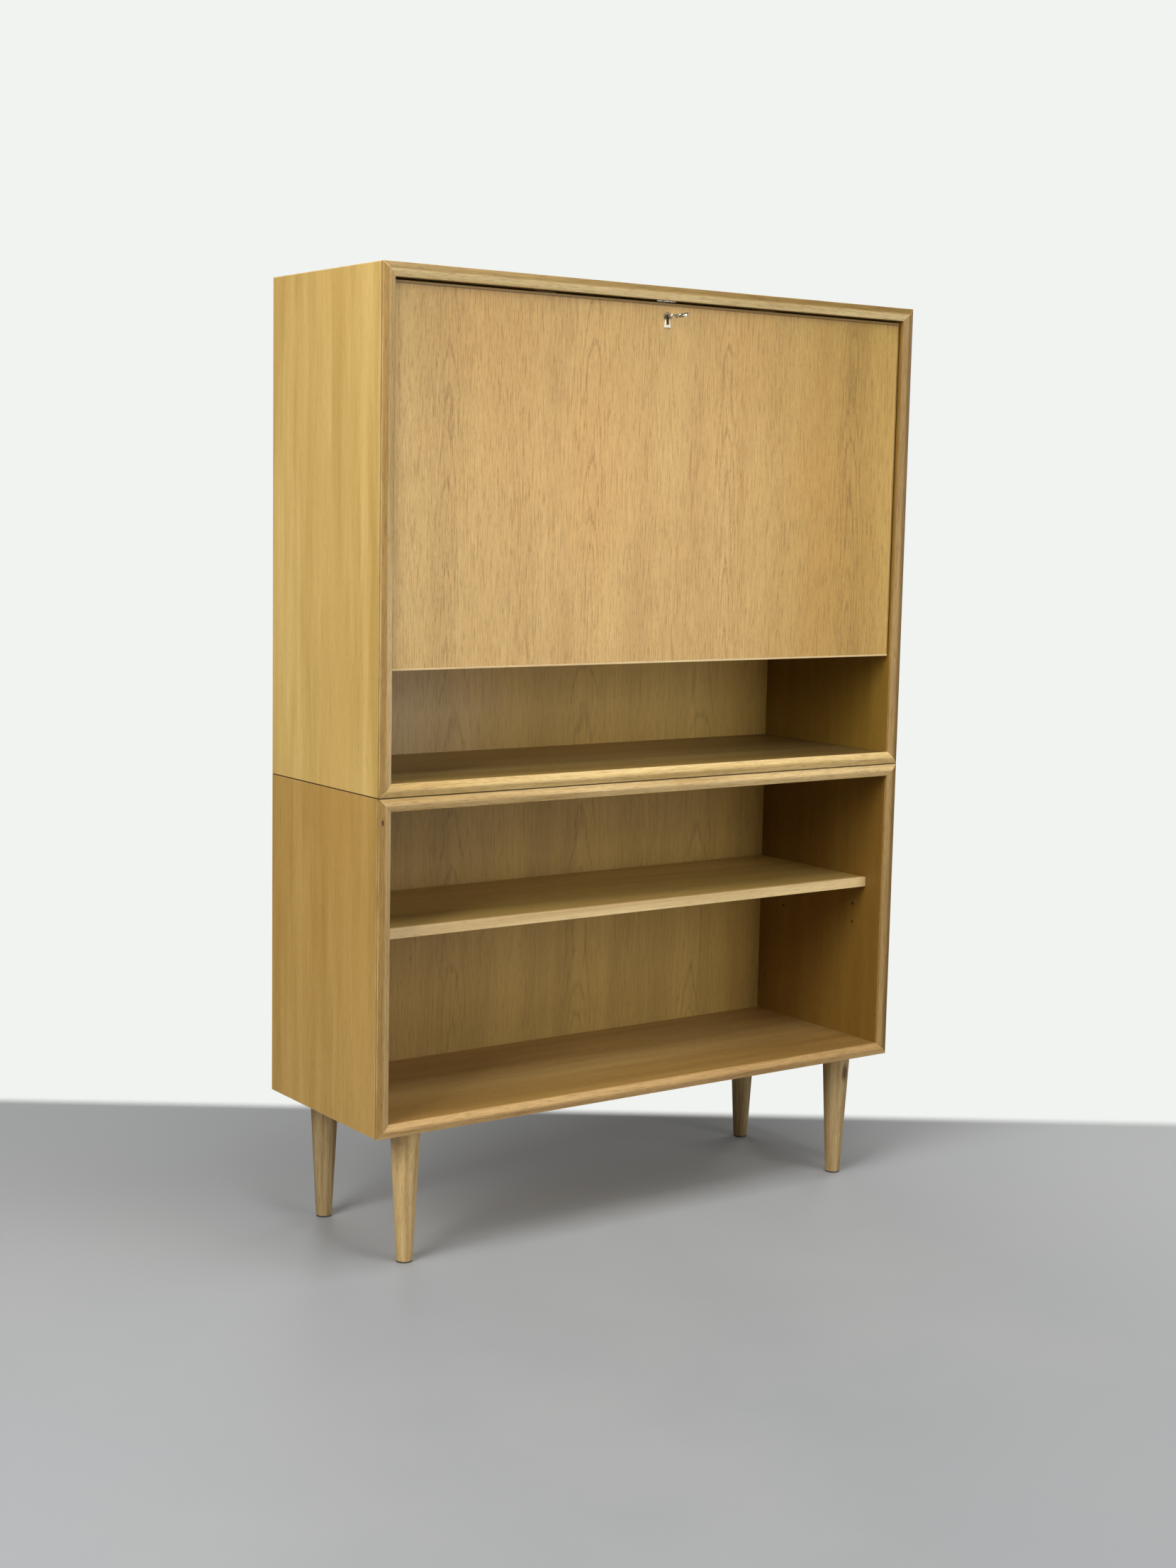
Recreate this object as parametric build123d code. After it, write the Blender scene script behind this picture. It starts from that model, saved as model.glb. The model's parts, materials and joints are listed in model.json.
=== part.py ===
from build123d import *
import os
from math import asin, atan2, cos, degrees, radians, sin, sqrt

# Secretary desk in oak: a carcass with a drop flap stands on a lower shelf unit on four turned legs.
#
# Millimetres, +X to the right, +Y to the back, +Z up. Every piece is modelled with x = 0 on the middle
# plane, y = 0 on the plane of the carcasses' front edges and z = 0 on the floor. save() then shifts it
# along Y so that the origin is under the middle of the whole desk, with its key.

# ---------------------------------------------------------------- driving dimensions
WIDTH = 1000.0
DEPTH = 328.0
LOWER_HEIGHT = 500.0
UPPER_HEIGHT = 750.0
LEG_HEIGHT = 207.0
PANEL = 20.0
CORNER_ROUND = 1.5

LIPPING_DEPTH = 5.0
NOSE_BULGE = 4.0
NOSE_RIDGE_ROUND = 7.0
ARRIS_ROUND = 0.8

BACK_PANEL = 6.0
BACK_RECESS = 3.0
REBATE = 10.0

LEG_TOP_DIAMETER = 46.0
LEG_FOOT_DIAMETER = 25.0
LEG_FROM_SIDE = 74.0
LEG_FROM_FRONT = 42.0
LEG_FROM_BACK = 36.0
GLIDE_DIAMETER = 24.0
GLIDE_HEIGHT = 2.0
GLIDE_NAIL_DIAMETER = 3.0
GLIDE_NAIL_LENGTH = 14.0
LEG_BOLT_DIAMETER = 8.0
LEG_BOLT_IN_LEG = 30.0
LEG_BOLT_IN_PANEL = 13.0
INSERT_DIAMETER = 12.0
INSERT_LENGTH = 14.0

FLAP_THICKNESS = 18.0
FLAP_RECESS = 8.0
FLAP_SIDE_GAP = 2.0
FLAP_TOP_GAP = 3.5
FLAP_BOTTOM_ABOVE_SEAM = 181.0
FLAP_EDGE = 3.0

FLOOR_THICKNESS = 16.0
FLOOR_GAP = 0.8
FLOOR_LIPPING = 8.0
HOUSING = 5.0

BOARD = 12.0
BOARD_FRONT = 112.0
DIVIDER_FRONT = 130.0
LETTER_SHELF_ABOVE_FLOOR = 181.0
LEDGER_SHELF_ABOVE_FLOOR = 356.0
DIVIDER_SPACING = 240.0
BOARD_HOUSING = 4.0

SHELF_THICKNESS = 16.0
SHELF_BELOW_SEAM = 199.0
SHELF_SETBACK = 42.0
SHELF_DEPTH = 272.0
SHELF_LIPPING = 8.0
SHELF_END_GAP = 1.0
PEG_DIAMETER = 5.0
PEG_LENGTH = 16.0
PEG_IN_PANEL = 8.0
PEG_HOLE_DEPTH = 10.0
PEG_SPACING = 32.0
PEG_ROWS = 3
PEG_TIP_ROUND = 1.0
PEG_FROM_FRONT = 73.5

SPLINE_WIDTH = 16.0
SPLINE_THICKNESS = 4.0
SPLINE_FROM_CORNER = 12.5
DOWEL_DIAMETER = 10.0
DOWEL_LENGTH = 24.0
DOWEL_X = 420.0
DOWEL_Y = (60.0, 270.0)
BACK_SCREW_SPACING = 140.0

HINGE_WIDTH = 14.0
HINGE_LENGTH = 60.0
HINGE_LEAF = 2.0
HINGE_PIN_DIAMETER = 5.0
HINGE_PIN_DEPTH = 4.0
HINGE_WASHER_DIAMETER = 12.0
HINGE_WASHER = 1.4
HINGE_PIN_ROOM = 1.0
RUNNING_CLEARANCE = 0.05

STAY_RADIUS = 150.0
STAY_POST_ANGLE = 50.0
STAY_PIVOT_HEIGHT = 7.0
STAY_FROM_SIDE = 15.0
STAY_ROD_DIAMETER = 6.0
STAY_SLIDING_CLEARANCE = 0.3
STAY_EYE_DIAMETER = 12.0
STAY_EYE_THICKNESS = 4.0
STAY_PIN_DIAMETER = 4.0
STAY_KNOB_DIAMETER = 11.0
STAY_KNOB_LENGTH = 8.0
SWIVEL_DIAMETER = 16.0
SWIVEL_LENGTH = 18.0
STAY_BASE = 3.0
STAY_BASE_HEIGHT = 46.0
STAY_BASE_WIDTH = 18.0
STAY_POST_DIAMETER = 6.0
STAY_POST_END_WALL = 1.0
EYE_PLAY = 0.5
LUG_GAP = 1.5
PIN_HEAD = 1.5
PIN_HEAD_DIAMETER = 7.0
BRACKET = 2.5
BRACKET_WIDTH = 30.0
BRACKET_HEIGHT = 20.0
BRACKET_SCREWS = (11.0, 23.0)

KEY_BELOW_FLAP_TOP = 20.5
KEY_SHANK_DIAMETER = 4.5
KEY_TILT = 22.0
KEY_OUT = 36.0
BOW_LENGTH = 24.0
BOW_WIDTH = 20.0
BOW_THICKNESS = 2.6
BOW_RING = 3.4
BIT_RADIUS = 9.0
BIT_THICKNESS = 2.2
BIT_WIDTH = 4.5
BOW_BRIDGE = 2.4
BOW_BEVEL = 0.5
COLLAR_OUT = 12.0
COLLAR_LENGTH = 2.4
COLLAR_DIAMETER = 7.5
COLLAR_ROUND = 1.0
SHOULDER_LENGTH = 1.8
SHOULDER_DIAMETER = 6.3
KEYHOLE_ROOM = 1.2
KEYHOLE_SLOT_ROOM = 1.7
KEYHOLE_BELOW_BIT = 3.0
ESCUTCHEON = 1.2
ESCUTCHEON_HEAD_DIAMETER = 13.4
ESCUTCHEON_WAIST = 8.6
ESCUTCHEON_WAIST_DROP = 3.0
ESCUTCHEON_FOOT = 12.6
ESCUTCHEON_DROP = 16.5
ESCUTCHEON_BEVEL = 0.4
ESCUTCHEON_OVERHANG = 0.2

CASE_WIDTH = 52.0
CASE_DEPTH = 12.0
CASE_BELOW_KEY = 18.0
CASE_WALL = 1.5
SELVEDGE_WIDTH = 64.0
SELVEDGE = 2.0
BOLT_WIDTH = 18.0
BOLT_THICKNESS = 6.0
BOLT_TAIL = 3.0
BOLT_TAIL_REACH = 20.0
BOLT_NOTCH_REACH = 6.5
BOLT_NOTCH_END = 10.0
BOLT_NOTCH_ROOM = 3.4
BOLT_OVER_SHANK = 0.8
BOLT_UNDER_SELVEDGE = 1.0
BOLT_BELOW_FLAP_TOP = 0.2
BOLT_ABOVE_CASE_BOTTOM = 3.0
BOLT_SLOT_ROOM = 0.4
LOCK_SCREW_FROM_EDGE = 4.0

STRIKE_WIDTH = 36.0
STRIKE_DEPTH = 17.0
STRIKE = 1.5
STRIKE_SLOT_ROOM = 0.6
STRIKE_SCREW_FROM_END = 4.2
MORTISE_ROOM = 1.0
STOP_X = 210.0
STOP_WIDTH = 34.0
STOP_DEPTH = 14.0
STOP_HEIGHT = 12.0
STOP_SCREW_FROM_MIDDLE = 9.0
FELT = 1.1
FELT_MARGIN = 1.0
FELT_GAP = 0.4

SCREW_SHANK = 3.0
SCREW_HEAD = 6.0
SCREW_HEAD_HEIGHT = 1.6
SCREW_SLOT = 0.8
SHORT_SCREW = 12.0
LONG_SCREW = 16.0

# ---------------------------------------------------------------- derived dimensions
HALF = WIDTH / 2
INSIDE = HALF - PANEL
SEAM = LEG_HEIGHT + LOWER_HEIGHT
TOP = SEAM + UPPER_HEIGHT
BACK_FACE = DEPTH - BACK_RECESS
BACK_FRONT = BACK_FACE - BACK_PANEL

FLAP_FRONT = FLAP_RECESS
FLAP_BACK = FLAP_FRONT + FLAP_THICKNESS
FLAP_HALF = INSIDE - FLAP_SIDE_GAP
FLAP_BOTTOM = SEAM + FLAP_BOTTOM_ABOVE_SEAM
FLAP_TOP = TOP - PANEL - FLAP_TOP_GAP
FLOOR_TOP = FLAP_BOTTOM + FLOOR_THICKNESS

# The flap turns about its mid-thickness, as far under the floor's top as it is behind its own face.
FLAP_RADIUS = FLAP_THICKNESS / 2
AXIS_Y = FLAP_FRONT + FLAP_RADIUS
AXIS_Z = FLOOR_TOP - FLAP_RADIUS
FLOOR_FRONT = AXIS_Y + FLAP_RADIUS + FLOOR_GAP

# Both ends of a stay lie at the same radius from the flap's axis, so its rod turns half as far.
STAY_X = INSIDE - STAY_FROM_SIDE
EYE_Y = FLAP_BACK + STAY_PIVOT_HEIGHT
EYE_Z = AXIS_Z + sqrt(STAY_RADIUS**2 - (EYE_Y - AXIS_Y) ** 2)
POST_Y = AXIS_Y + STAY_RADIUS * cos(radians(STAY_POST_ANGLE))
POST_Z = AXIS_Z + STAY_RADIUS * sin(radians(STAY_POST_ANGLE))
EYE_ANGLE = degrees(atan2(EYE_Z - AXIS_Z, EYE_Y - AXIS_Y))
OPEN_REACH = 2 * STAY_RADIUS * sin(radians(EYE_ANGLE + 90 - STAY_POST_ANGLE) / 2)
ROD_LENGTH = OPEN_REACH + SWIVEL_DIAMETER / 2 + STAY_SLIDING_CLEARANCE
STAY_POST_DEPTH = SWIVEL_LENGTH / 2 - STAY_ROD_DIAMETER / 2 - STAY_POST_END_WALL
LUG_X = -STAY_X + STAY_EYE_THICKNESS / 2 + LUG_GAP
STOP_FRONT = FLAP_BACK + FELT_GAP + FELT

KEY_Z = FLAP_TOP - KEY_BELOW_FLAP_TOP
KEY_TIP = FLAP_FRONT - KEY_OUT - BOW_LENGTH / 2
CASE_FRONT = FLAP_BACK - CASE_DEPTH
CASE_BOTTOM = KEY_Z - CASE_BELOW_KEY
CASE_TOP = FLAP_TOP - SELVEDGE
BOLT_THROW = 2 * BIT_RADIUS * sin(radians(KEY_TILT))
BOLT_MIDDLE = CASE_FRONT + CASE_DEPTH / 2

SHELF_TOP = SEAM - SHELF_BELOW_SEAM
SHELF_UNDER = SHELF_TOP - SHELF_THICKNESS
PEG_Y = (PEG_FROM_FRONT, DEPTH - PEG_FROM_FRONT)
PEG_Z = [SHELF_UNDER - PEG_DIAMETER / 2 - row * PEG_SPACING for row in range(PEG_ROWS)]

ORIGIN_Y = (KEY_TIP + DEPTH) / 2
UP = (0, 0, 1)
DOWN = (0, 0, -1)
BACKWARD = (0, 1, 0)
FORWARD = (0, -1, 0)
TO_RIGHT = (1, 0, 0)
TO_LEFT = (-1, 0, 0)


# ---------------------------------------------------------------- shapes used again and again
def block(x0, x1, y0, y1, z0, z1):
    """Box between two opposite corners."""
    size = Box(x1 - x0, y1 - y0, z1 - z0, align=(Align.MIN, Align.MIN, Align.MIN))
    return Pos(x0, y0, z0) * size


def bar(start, direction, length, diameter):
    """Round bar from a point along a direction."""
    align = (Align.CENTER, Align.CENTER, Align.MIN)
    return Plane(origin=start, z_dir=direction) * Cylinder(diameter / 2, length, align=align)


def both_sides(left_piece):
    """The left-hand piece and its mirror image on the right."""
    return [left_piece, mirror(left_piece, about=Plane.YZ)]


def along_y(points, front, back):
    """Prism of an outline in X and Z, from front to back."""
    outline = make_face(Polyline(*points, close=True))
    return Pos(0, back, 0) * extrude(Plane.XZ * outline, amount=back - front)


def cut(piece, tools):
    """The piece less every tool."""
    for tool in tools:
        piece = piece - tool
    return piece


def screw_blank(place, length):
    """Countersunk wood screw without its slot, its head's face at the place and its tip along +Z."""
    align = (Align.CENTER, Align.CENTER, Align.MIN)
    head = Cone(SCREW_HEAD / 2, SCREW_SHANK / 2, SCREW_HEAD_HEIGHT, align=align)
    shank = Cylinder(SCREW_SHANK / 2, length - SCREW_SHANK, align=align)
    tip = Pos(0, 0, length - SCREW_SHANK) * Cone(SCREW_SHANK / 2, SCREW_SLOT / 2, SCREW_SHANK, align=align)
    return place * (head + shank + tip)


def screw(place, length):
    """Countersunk wood screw with a straight slot."""
    slot = Box(SCREW_HEAD, SCREW_SLOT, SCREW_SLOT, align=(Align.CENTER, Align.CENTER, Align.MIN))
    return screw_blank(place, length) - place * slot


def screws(places, length):
    return [screw(place, length) for place in places]


def screw_holes(places, length):
    return [screw_blank(place, length) for place in places]


# ---------------------------------------------------------------- mitred carcasses
def frame_side(side, low, high, front, back):
    """The trapezoid prism that one side of a mitred frame fills."""
    outer = {"a": (-HALF, low), "b": (HALF, low), "c": (HALF, high), "d": (-HALF, high)}
    inner = {
        "a": (-INSIDE, low + PANEL),
        "b": (INSIDE, low + PANEL),
        "c": (INSIDE, high - PANEL),
        "d": (-INSIDE, high - PANEL),
    }
    first, second = {"bottom": "ab", "right": "bc", "top": "cd", "left": "da"}[side]
    return along_y([outer[first], outer[second], inner[second], inner[first]], front, back)


def rounded_envelope(low, high):
    """The outside of a carcass, with its four long edges eased."""
    envelope = block(-HALF, HALF, -NOSE_BULGE, DEPTH, low, high)
    return fillet(envelope.edges().filter_by(Axis.Y), CORNER_ROUND)


def carcass_panel(side, low, high):
    """One veneered panel of a carcass, mitred at both ends and rebated for the back."""
    panel = frame_side(side, low, high, LIPPING_DEPTH, DEPTH) & rounded_envelope(low, high)
    reach = INSIDE + REBATE
    rebate = block(-reach, reach, BACK_FRONT, DEPTH, low + PANEL - REBATE, high - PANEL + REBATE)
    return cut(panel - rebate, mitre_splines(low, high))


def nose_profile():
    """Section of a lipping: flat at the back, two facets with a soft ridge between them in front."""
    outline = Polyline(
        (0, LIPPING_DEPTH),
        (0, 0),
        (PANEL / 2, -NOSE_BULGE),
        (PANEL, 0),
        (PANEL, LIPPING_DEPTH),
        close=True,
    )
    face = make_face(outline)
    by_height = face.vertices().sort_by(Axis.Y)
    face = fillet(by_height[0], NOSE_RIDGE_ROUND)
    arrises = [v for v in face.vertices() if abs(v.Y) < 0.01 and (v.X < 0.01 or v.X > PANEL - 0.01)]
    return fillet(arrises, ARRIS_ROUND)


def carcass_lipping(side, low, high):
    """Solid lipping on the front edge of one panel, mitred into its neighbours."""
    middle = (low + high) / 2
    places = {
        "left": Plane(origin=(-HALF, 0, middle), x_dir=TO_RIGHT, z_dir=UP),
        "right": Plane(origin=(HALF, 0, middle), x_dir=TO_LEFT, z_dir=DOWN),
        "top": Plane(origin=(0, 0, high), x_dir=DOWN, z_dir=TO_RIGHT),
        "bottom": Plane(origin=(0, 0, low), x_dir=UP, z_dir=TO_LEFT),
    }
    nose = extrude(places[side] * nose_profile(), amount=HALF, both=True)
    lipping = nose & frame_side(side, low, high, -NOSE_BULGE, LIPPING_DEPTH)
    return lipping & rounded_envelope(low, high)


def mitre_splines(low, high):
    """Plywood tongues across the four mitres of a carcass."""
    length = BACK_FRONT - LIPPING_DEPTH - 2 * SPLINE_WIDTH
    tongue = Box(SPLINE_WIDTH, length, SPLINE_THICKNESS)
    middle = (LIPPING_DEPTH + BACK_FRONT) / 2
    x = HALF - SPLINE_FROM_CORNER
    z_top = high - SPLINE_FROM_CORNER
    z_bottom = low + SPLINE_FROM_CORNER
    corners = [(-x, z_top, -45), (x, z_top, 45), (-x, z_bottom, 45), (x, z_bottom, -45)]
    return [Pos(cx, middle, cz) * Rot(0, turn, 0) * tongue for cx, cz, turn in corners]


def stacking_dowels():
    """Loose dowels that keep the upper unit square on the lower one."""
    start = SEAM - DOWEL_LENGTH / 2
    return [
        bar((x, y, start), UP, DOWEL_LENGTH, DOWEL_DIAMETER)
        for x in (-DOWEL_X, DOWEL_X)
        for y in DOWEL_Y
    ]


def back_panel(low, high):
    """Thin back, screwed into the rebate of a carcass."""
    reach = INSIDE + REBATE
    panel = block(-reach, reach, BACK_FRONT, BACK_FACE, low + PANEL - REBATE, high - PANEL + REBATE)
    return cut(panel, screw_holes(back_screw_places(low, high), LONG_SCREW))


def back_screw_places(low, high):
    """Screws round a back, in the middle of the rebate and evenly spaced."""
    x_line = INSIDE + REBATE / 2
    z_low = low + PANEL - REBATE / 2
    z_high = high - PANEL + REBATE / 2
    across = int(2 * x_line / BACK_SCREW_SPACING)
    up = int((z_high - z_low) / BACK_SCREW_SPACING)
    spots = [(2 * x_line * (i / across - 0.5), z) for i in range(across + 1) for z in (z_low, z_high)]
    spots += [(x, z_low + (z_high - z_low) * i / up) for i in range(1, up) for x in (-x_line, x_line)]
    return [Plane(origin=(x, BACK_FACE, z), z_dir=FORWARD) for x, z in spots]


# ---------------------------------------------------------------- upper unit
def upper_side():
    """Left side of the upper unit, housed for the floor and the shelves."""
    side = carcass_panel("left", SEAM, TOP)
    tools = [compartment_floor()]
    tools += [inner_shelf(rise) for rise in (LETTER_SHELF_ABOVE_FLOOR, LEDGER_SHELF_ABOVE_FLOOR)]
    tools.append(hinge_leaf_outline(-INSIDE, -HINGE_LEAF))
    tools += screw_holes(back_screw_places(SEAM, TOP), LONG_SCREW)
    tools += screw_holes(hinge_screw_places(-INSIDE, TO_LEFT), SHORT_SCREW)
    tools += screw_holes(stay_base_screw_places(), SHORT_SCREW)
    return cut(side, tools)


def upper_lipping(side):
    """Lipping of the upper unit; the hinge leaves reach into the side ones."""
    return cut(carcass_lipping(side, SEAM, TOP), both_sides(hinge_leaf_outline(-INSIDE, -HINGE_LEAF)))


def upper_top():
    tools = screw_holes(back_screw_places(SEAM, TOP), LONG_SCREW)
    tools += screw_holes(strike_screw_places(), SHORT_SCREW)
    tools += screw_holes(stop_screw_places(), LONG_SCREW)
    tools.append(bolt_mortise())
    return cut(carcass_panel("top", SEAM, TOP), tools)


def upper_bottom():
    tools = screw_holes(back_screw_places(SEAM, TOP), LONG_SCREW)
    return cut(carcass_panel("bottom", SEAM, TOP), tools + stacking_dowels())


def compartment_floor():
    """Floor behind the flap, with its ends housed in the sides."""
    front = FLOOR_FRONT + FLOOR_LIPPING
    reach = INSIDE + HOUSING
    return block(-reach, reach, front, BACK_FRONT, FLAP_BOTTOM, FLOOR_TOP)


def compartment_floor_lipping():
    lipping = block(-INSIDE, INSIDE, FLOOR_FRONT, FLOOR_FRONT + FLOOR_LIPPING, FLAP_BOTTOM, FLOOR_TOP)
    front_edges = lipping.edges().filter_by(Axis.X).group_by(Axis.Y)[0]
    return fillet(front_edges, ARRIS_ROUND)


def inner_shelf(above_floor):
    """Full-width shelf inside the compartment."""
    reach = INSIDE + BOARD_HOUSING
    low = FLOOR_TOP + above_floor
    return block(-reach, reach, BOARD_FRONT, BACK_FRONT, low, low + BOARD)


def pigeonhole_dividers():
    high = FLOOR_TOP + LETTER_SHELF_ABOVE_FLOOR
    return [
        block(x - BOARD / 2, x + BOARD / 2, DIVIDER_FRONT, BACK_FRONT, FLOOR_TOP, high)
        for x in (-DIVIDER_SPACING, 0, DIVIDER_SPACING)
    ]


def flap_stops():
    """Blocks under the top that the closed flap comes to rest against."""
    half = STOP_WIDTH / 2
    back = STOP_FRONT + STOP_DEPTH
    under = TOP - PANEL
    left = block(-STOP_X - half, -STOP_X + half, STOP_FRONT, back, under - STOP_HEIGHT, under)
    return both_sides(cut(left, screw_holes(stop_screw_places(), LONG_SCREW)))


def flap_stop_felts():
    half = STOP_WIDTH / 2 - FELT_MARGIN
    low = TOP - PANEL - STOP_HEIGHT + FELT_MARGIN
    high = TOP - PANEL - FELT_MARGIN
    return both_sides(block(-STOP_X - half, -STOP_X + half, STOP_FRONT - FELT, STOP_FRONT, low, high))


def stop_screw_places():
    y = STOP_FRONT + STOP_DEPTH / 2
    z = TOP - PANEL - STOP_HEIGHT
    offsets = (-STOP_SCREW_FROM_MIDDLE, STOP_SCREW_FROM_MIDDLE)
    return [Plane(origin=(x + dx, y, z), z_dir=UP) for x in (-STOP_X, STOP_X) for dx in offsets]


# ---------------------------------------------------------------- lower unit and legs
def lower_side():
    """Left side of the lower unit, with two rows of shelf-peg holes."""
    start = -INSIDE - PEG_HOLE_DEPTH
    holes = [bar((start, y, z), TO_RIGHT, PEG_HOLE_DEPTH, PEG_DIAMETER) for y in PEG_Y for z in PEG_Z]
    tools = holes + screw_holes(back_screw_places(LEG_HEIGHT, SEAM), LONG_SCREW)
    return cut(carcass_panel("left", LEG_HEIGHT, SEAM), tools)


def lower_top():
    tools = screw_holes(back_screw_places(LEG_HEIGHT, SEAM), LONG_SCREW) + stacking_dowels()
    return cut(carcass_panel("top", LEG_HEIGHT, SEAM), tools)


def lower_bottom():
    inserts = [bar((x, y, LEG_HEIGHT), UP, INSERT_LENGTH, INSERT_DIAMETER) for x, y in leg_places()]
    tools = screw_holes(back_screw_places(LEG_HEIGHT, SEAM), LONG_SCREW) + inserts
    return cut(carcass_panel("bottom", LEG_HEIGHT, SEAM), tools)


def shelf_blank():
    edge = INSIDE - SHELF_END_GAP
    back = SHELF_SETBACK + SHELF_DEPTH
    blank = block(-edge, edge, SHELF_SETBACK, back, SHELF_UNDER, SHELF_TOP)
    front_edges = blank.edges().filter_by(Axis.X).group_by(Axis.Y)[0]
    return fillet(front_edges, ARRIS_ROUND)


def adjustable_shelf():
    return shelf_blank() & block(-HALF, HALF, SHELF_SETBACK + SHELF_LIPPING, DEPTH, SHELF_UNDER, SHELF_TOP)


def adjustable_shelf_lipping():
    return shelf_blank() & block(-HALF, HALF, 0, SHELF_SETBACK + SHELF_LIPPING, SHELF_UNDER, SHELF_TOP)


def shelf_pegs():
    """Round pegs in the top hole of each row, under the shelf."""
    start = -INSIDE - PEG_IN_PANEL
    pegs = []
    for y in PEG_Y:
        peg = bar((start, y, PEG_Z[0]), TO_RIGHT, PEG_LENGTH, PEG_DIAMETER)
        tip = peg.edges().group_by(Axis.X)[-1]
        pegs += both_sides(fillet(tip, PEG_TIP_ROUND))
    return pegs


def leg_places():
    """Centre of each leg: front left, front right, back left and back right."""
    x = HALF - LEG_FROM_SIDE
    back = DEPTH - LEG_FROM_BACK
    return [(-x, LEG_FROM_FRONT), (x, LEG_FROM_FRONT), (-x, back), (x, back)]


def leg(x, y):
    """Turned leg, tapered from the carcass to its glide, bored for its bolt and its glide's nail."""
    align = (Align.CENTER, Align.CENTER, Align.MIN)
    height = LEG_HEIGHT - GLIDE_HEIGHT
    taper = Pos(x, y, GLIDE_HEIGHT) * Cone(LEG_FOOT_DIAMETER / 2, LEG_TOP_DIAMETER / 2, height, align=align)
    foot_edge = taper.edges().filter_by(GeomType.CIRCLE).group_by(Axis.Z)[0]
    taper = fillet(foot_edge, 2 * ARRIS_ROUND)
    bolt = bar((x, y, LEG_HEIGHT - LEG_BOLT_IN_LEG), UP, LEG_BOLT_IN_LEG, LEG_BOLT_DIAMETER)
    nail = bar((x, y, GLIDE_HEIGHT), UP, GLIDE_NAIL_LENGTH, GLIDE_NAIL_DIAMETER)
    return taper - bolt - nail


def leg_glides():
    """Domed steel glides nailed under the legs."""
    glides = []
    for x, y in leg_places():
        disc = bar((x, y, 0), UP, GLIDE_HEIGHT, GLIDE_DIAMETER)
        disc = fillet(disc.edges().group_by(Axis.Z)[0], GLIDE_HEIGHT / 2)
        nail = bar((x, y, GLIDE_HEIGHT), UP, GLIDE_NAIL_LENGTH, GLIDE_NAIL_DIAMETER)
        glides.append(disc + nail)
    return glides


def leg_bolts():
    """Hanger bolts from the legs into the inserts."""
    length = LEG_BOLT_IN_LEG + LEG_BOLT_IN_PANEL
    start = LEG_HEIGHT - LEG_BOLT_IN_LEG
    return [bar((x, y, start), UP, length, LEG_BOLT_DIAMETER) for x, y in leg_places()]


def leg_inserts():
    """Threaded inserts let into the underside of the lower unit."""
    inserts = []
    for x, y in leg_places():
        insert = bar((x, y, LEG_HEIGHT), UP, INSERT_LENGTH, INSERT_DIAMETER)
        inserts.append(insert - bar((x, y, LEG_HEIGHT), UP, LEG_BOLT_IN_PANEL, LEG_BOLT_DIAMETER))
    return inserts


# ---------------------------------------------------------------- flap
def flap_blank():
    """The whole flap: its lower inner edge is rounded about the hinge axis to clear the floor."""
    drop = AXIS_Z - FLAP_BOTTOM
    inward = sqrt(FLAP_RADIUS**2 - drop**2)
    half_turn = asin(drop / FLAP_RADIUS) / 2
    middle = (AXIS_Y + FLAP_RADIUS * cos(half_turn), AXIS_Z - FLAP_RADIUS * sin(half_turn))
    path = Polyline(
        (FLAP_BACK, AXIS_Z),
        (FLAP_BACK, FLAP_TOP),
        (FLAP_FRONT, FLAP_TOP),
        (FLAP_FRONT, FLAP_BOTTOM),
        (AXIS_Y + inward, FLAP_BOTTOM),
    )
    corner = ThreePointArc((AXIS_Y + inward, FLAP_BOTTOM), middle, (FLAP_BACK, AXIS_Z))
    section = make_face(path.edges() + corner.edges())
    blank = extrude(Plane.YZ * section, amount=FLAP_HALF, both=True)
    front = blank.faces().sort_by(Axis.Y)[0]
    return fillet(front.edges(), ARRIS_ROUND)


def flap_cuts():
    """Everything that is let into the flap."""
    tools = both_sides(hinge_leaf_outline(-FLAP_HALF, HINGE_LEAF))
    tools += both_sides(hinge_pin_recess())
    tools += screw_holes(flap_screw_places(), SHORT_SCREW)
    tools += [lock_recess(), keyhole(FLAP_FRONT, CASE_FRONT)]
    return tools


def flap_zone(x0, x1, z0, z1):
    """A region of the flap's blank, with the hardware let in."""
    zone = flap_blank() & block(x0, x1, 0, DEPTH, z0, z1)
    return cut(zone, flap_cuts())


def flap_panel():
    edge = FLAP_HALF - FLAP_EDGE
    return flap_zone(-edge, edge, FLAP_BOTTOM + FLAP_EDGE, FLAP_TOP - FLAP_EDGE)


def flap_lipping_top():
    return flap_zone(-HALF, HALF, FLAP_TOP - FLAP_EDGE, TOP)


def flap_lipping_bottom():
    return flap_zone(-HALF, HALF, SEAM, FLAP_BOTTOM + FLAP_EDGE)


def flap_lippings_side():
    left = flap_zone(-HALF, FLAP_EDGE - FLAP_HALF, FLAP_BOTTOM + FLAP_EDGE, FLAP_TOP - FLAP_EDGE)
    return both_sides(left)


# ---------------------------------------------------------------- knife hinges
def hinge_leaf_outline(face_x, thickness):
    """Straight knife-hinge leaf, standing up from the axis, on the plane x = face_x."""
    low, high = sorted((face_x, face_x + thickness))
    half = HINGE_WIDTH / 2
    strip = block(low, high, AXIS_Y - half, AXIS_Y + half, AXIS_Z, AXIS_Z + HINGE_LENGTH)
    return strip + bar((low, AXIS_Y, AXIS_Z), TO_RIGHT, high - low, HINGE_WIDTH)


def hinge_screw_places(face_x, direction):
    """Three screws up a leaf, their heads flush with the plane x = face_x."""
    rise = HINGE_LENGTH / 4
    places = []
    for step in (1, 2, 3):
        z = AXIS_Z + step * rise
        places.append(Plane(origin=(face_x, AXIS_Y, z), z_dir=direction))
    return places


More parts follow.
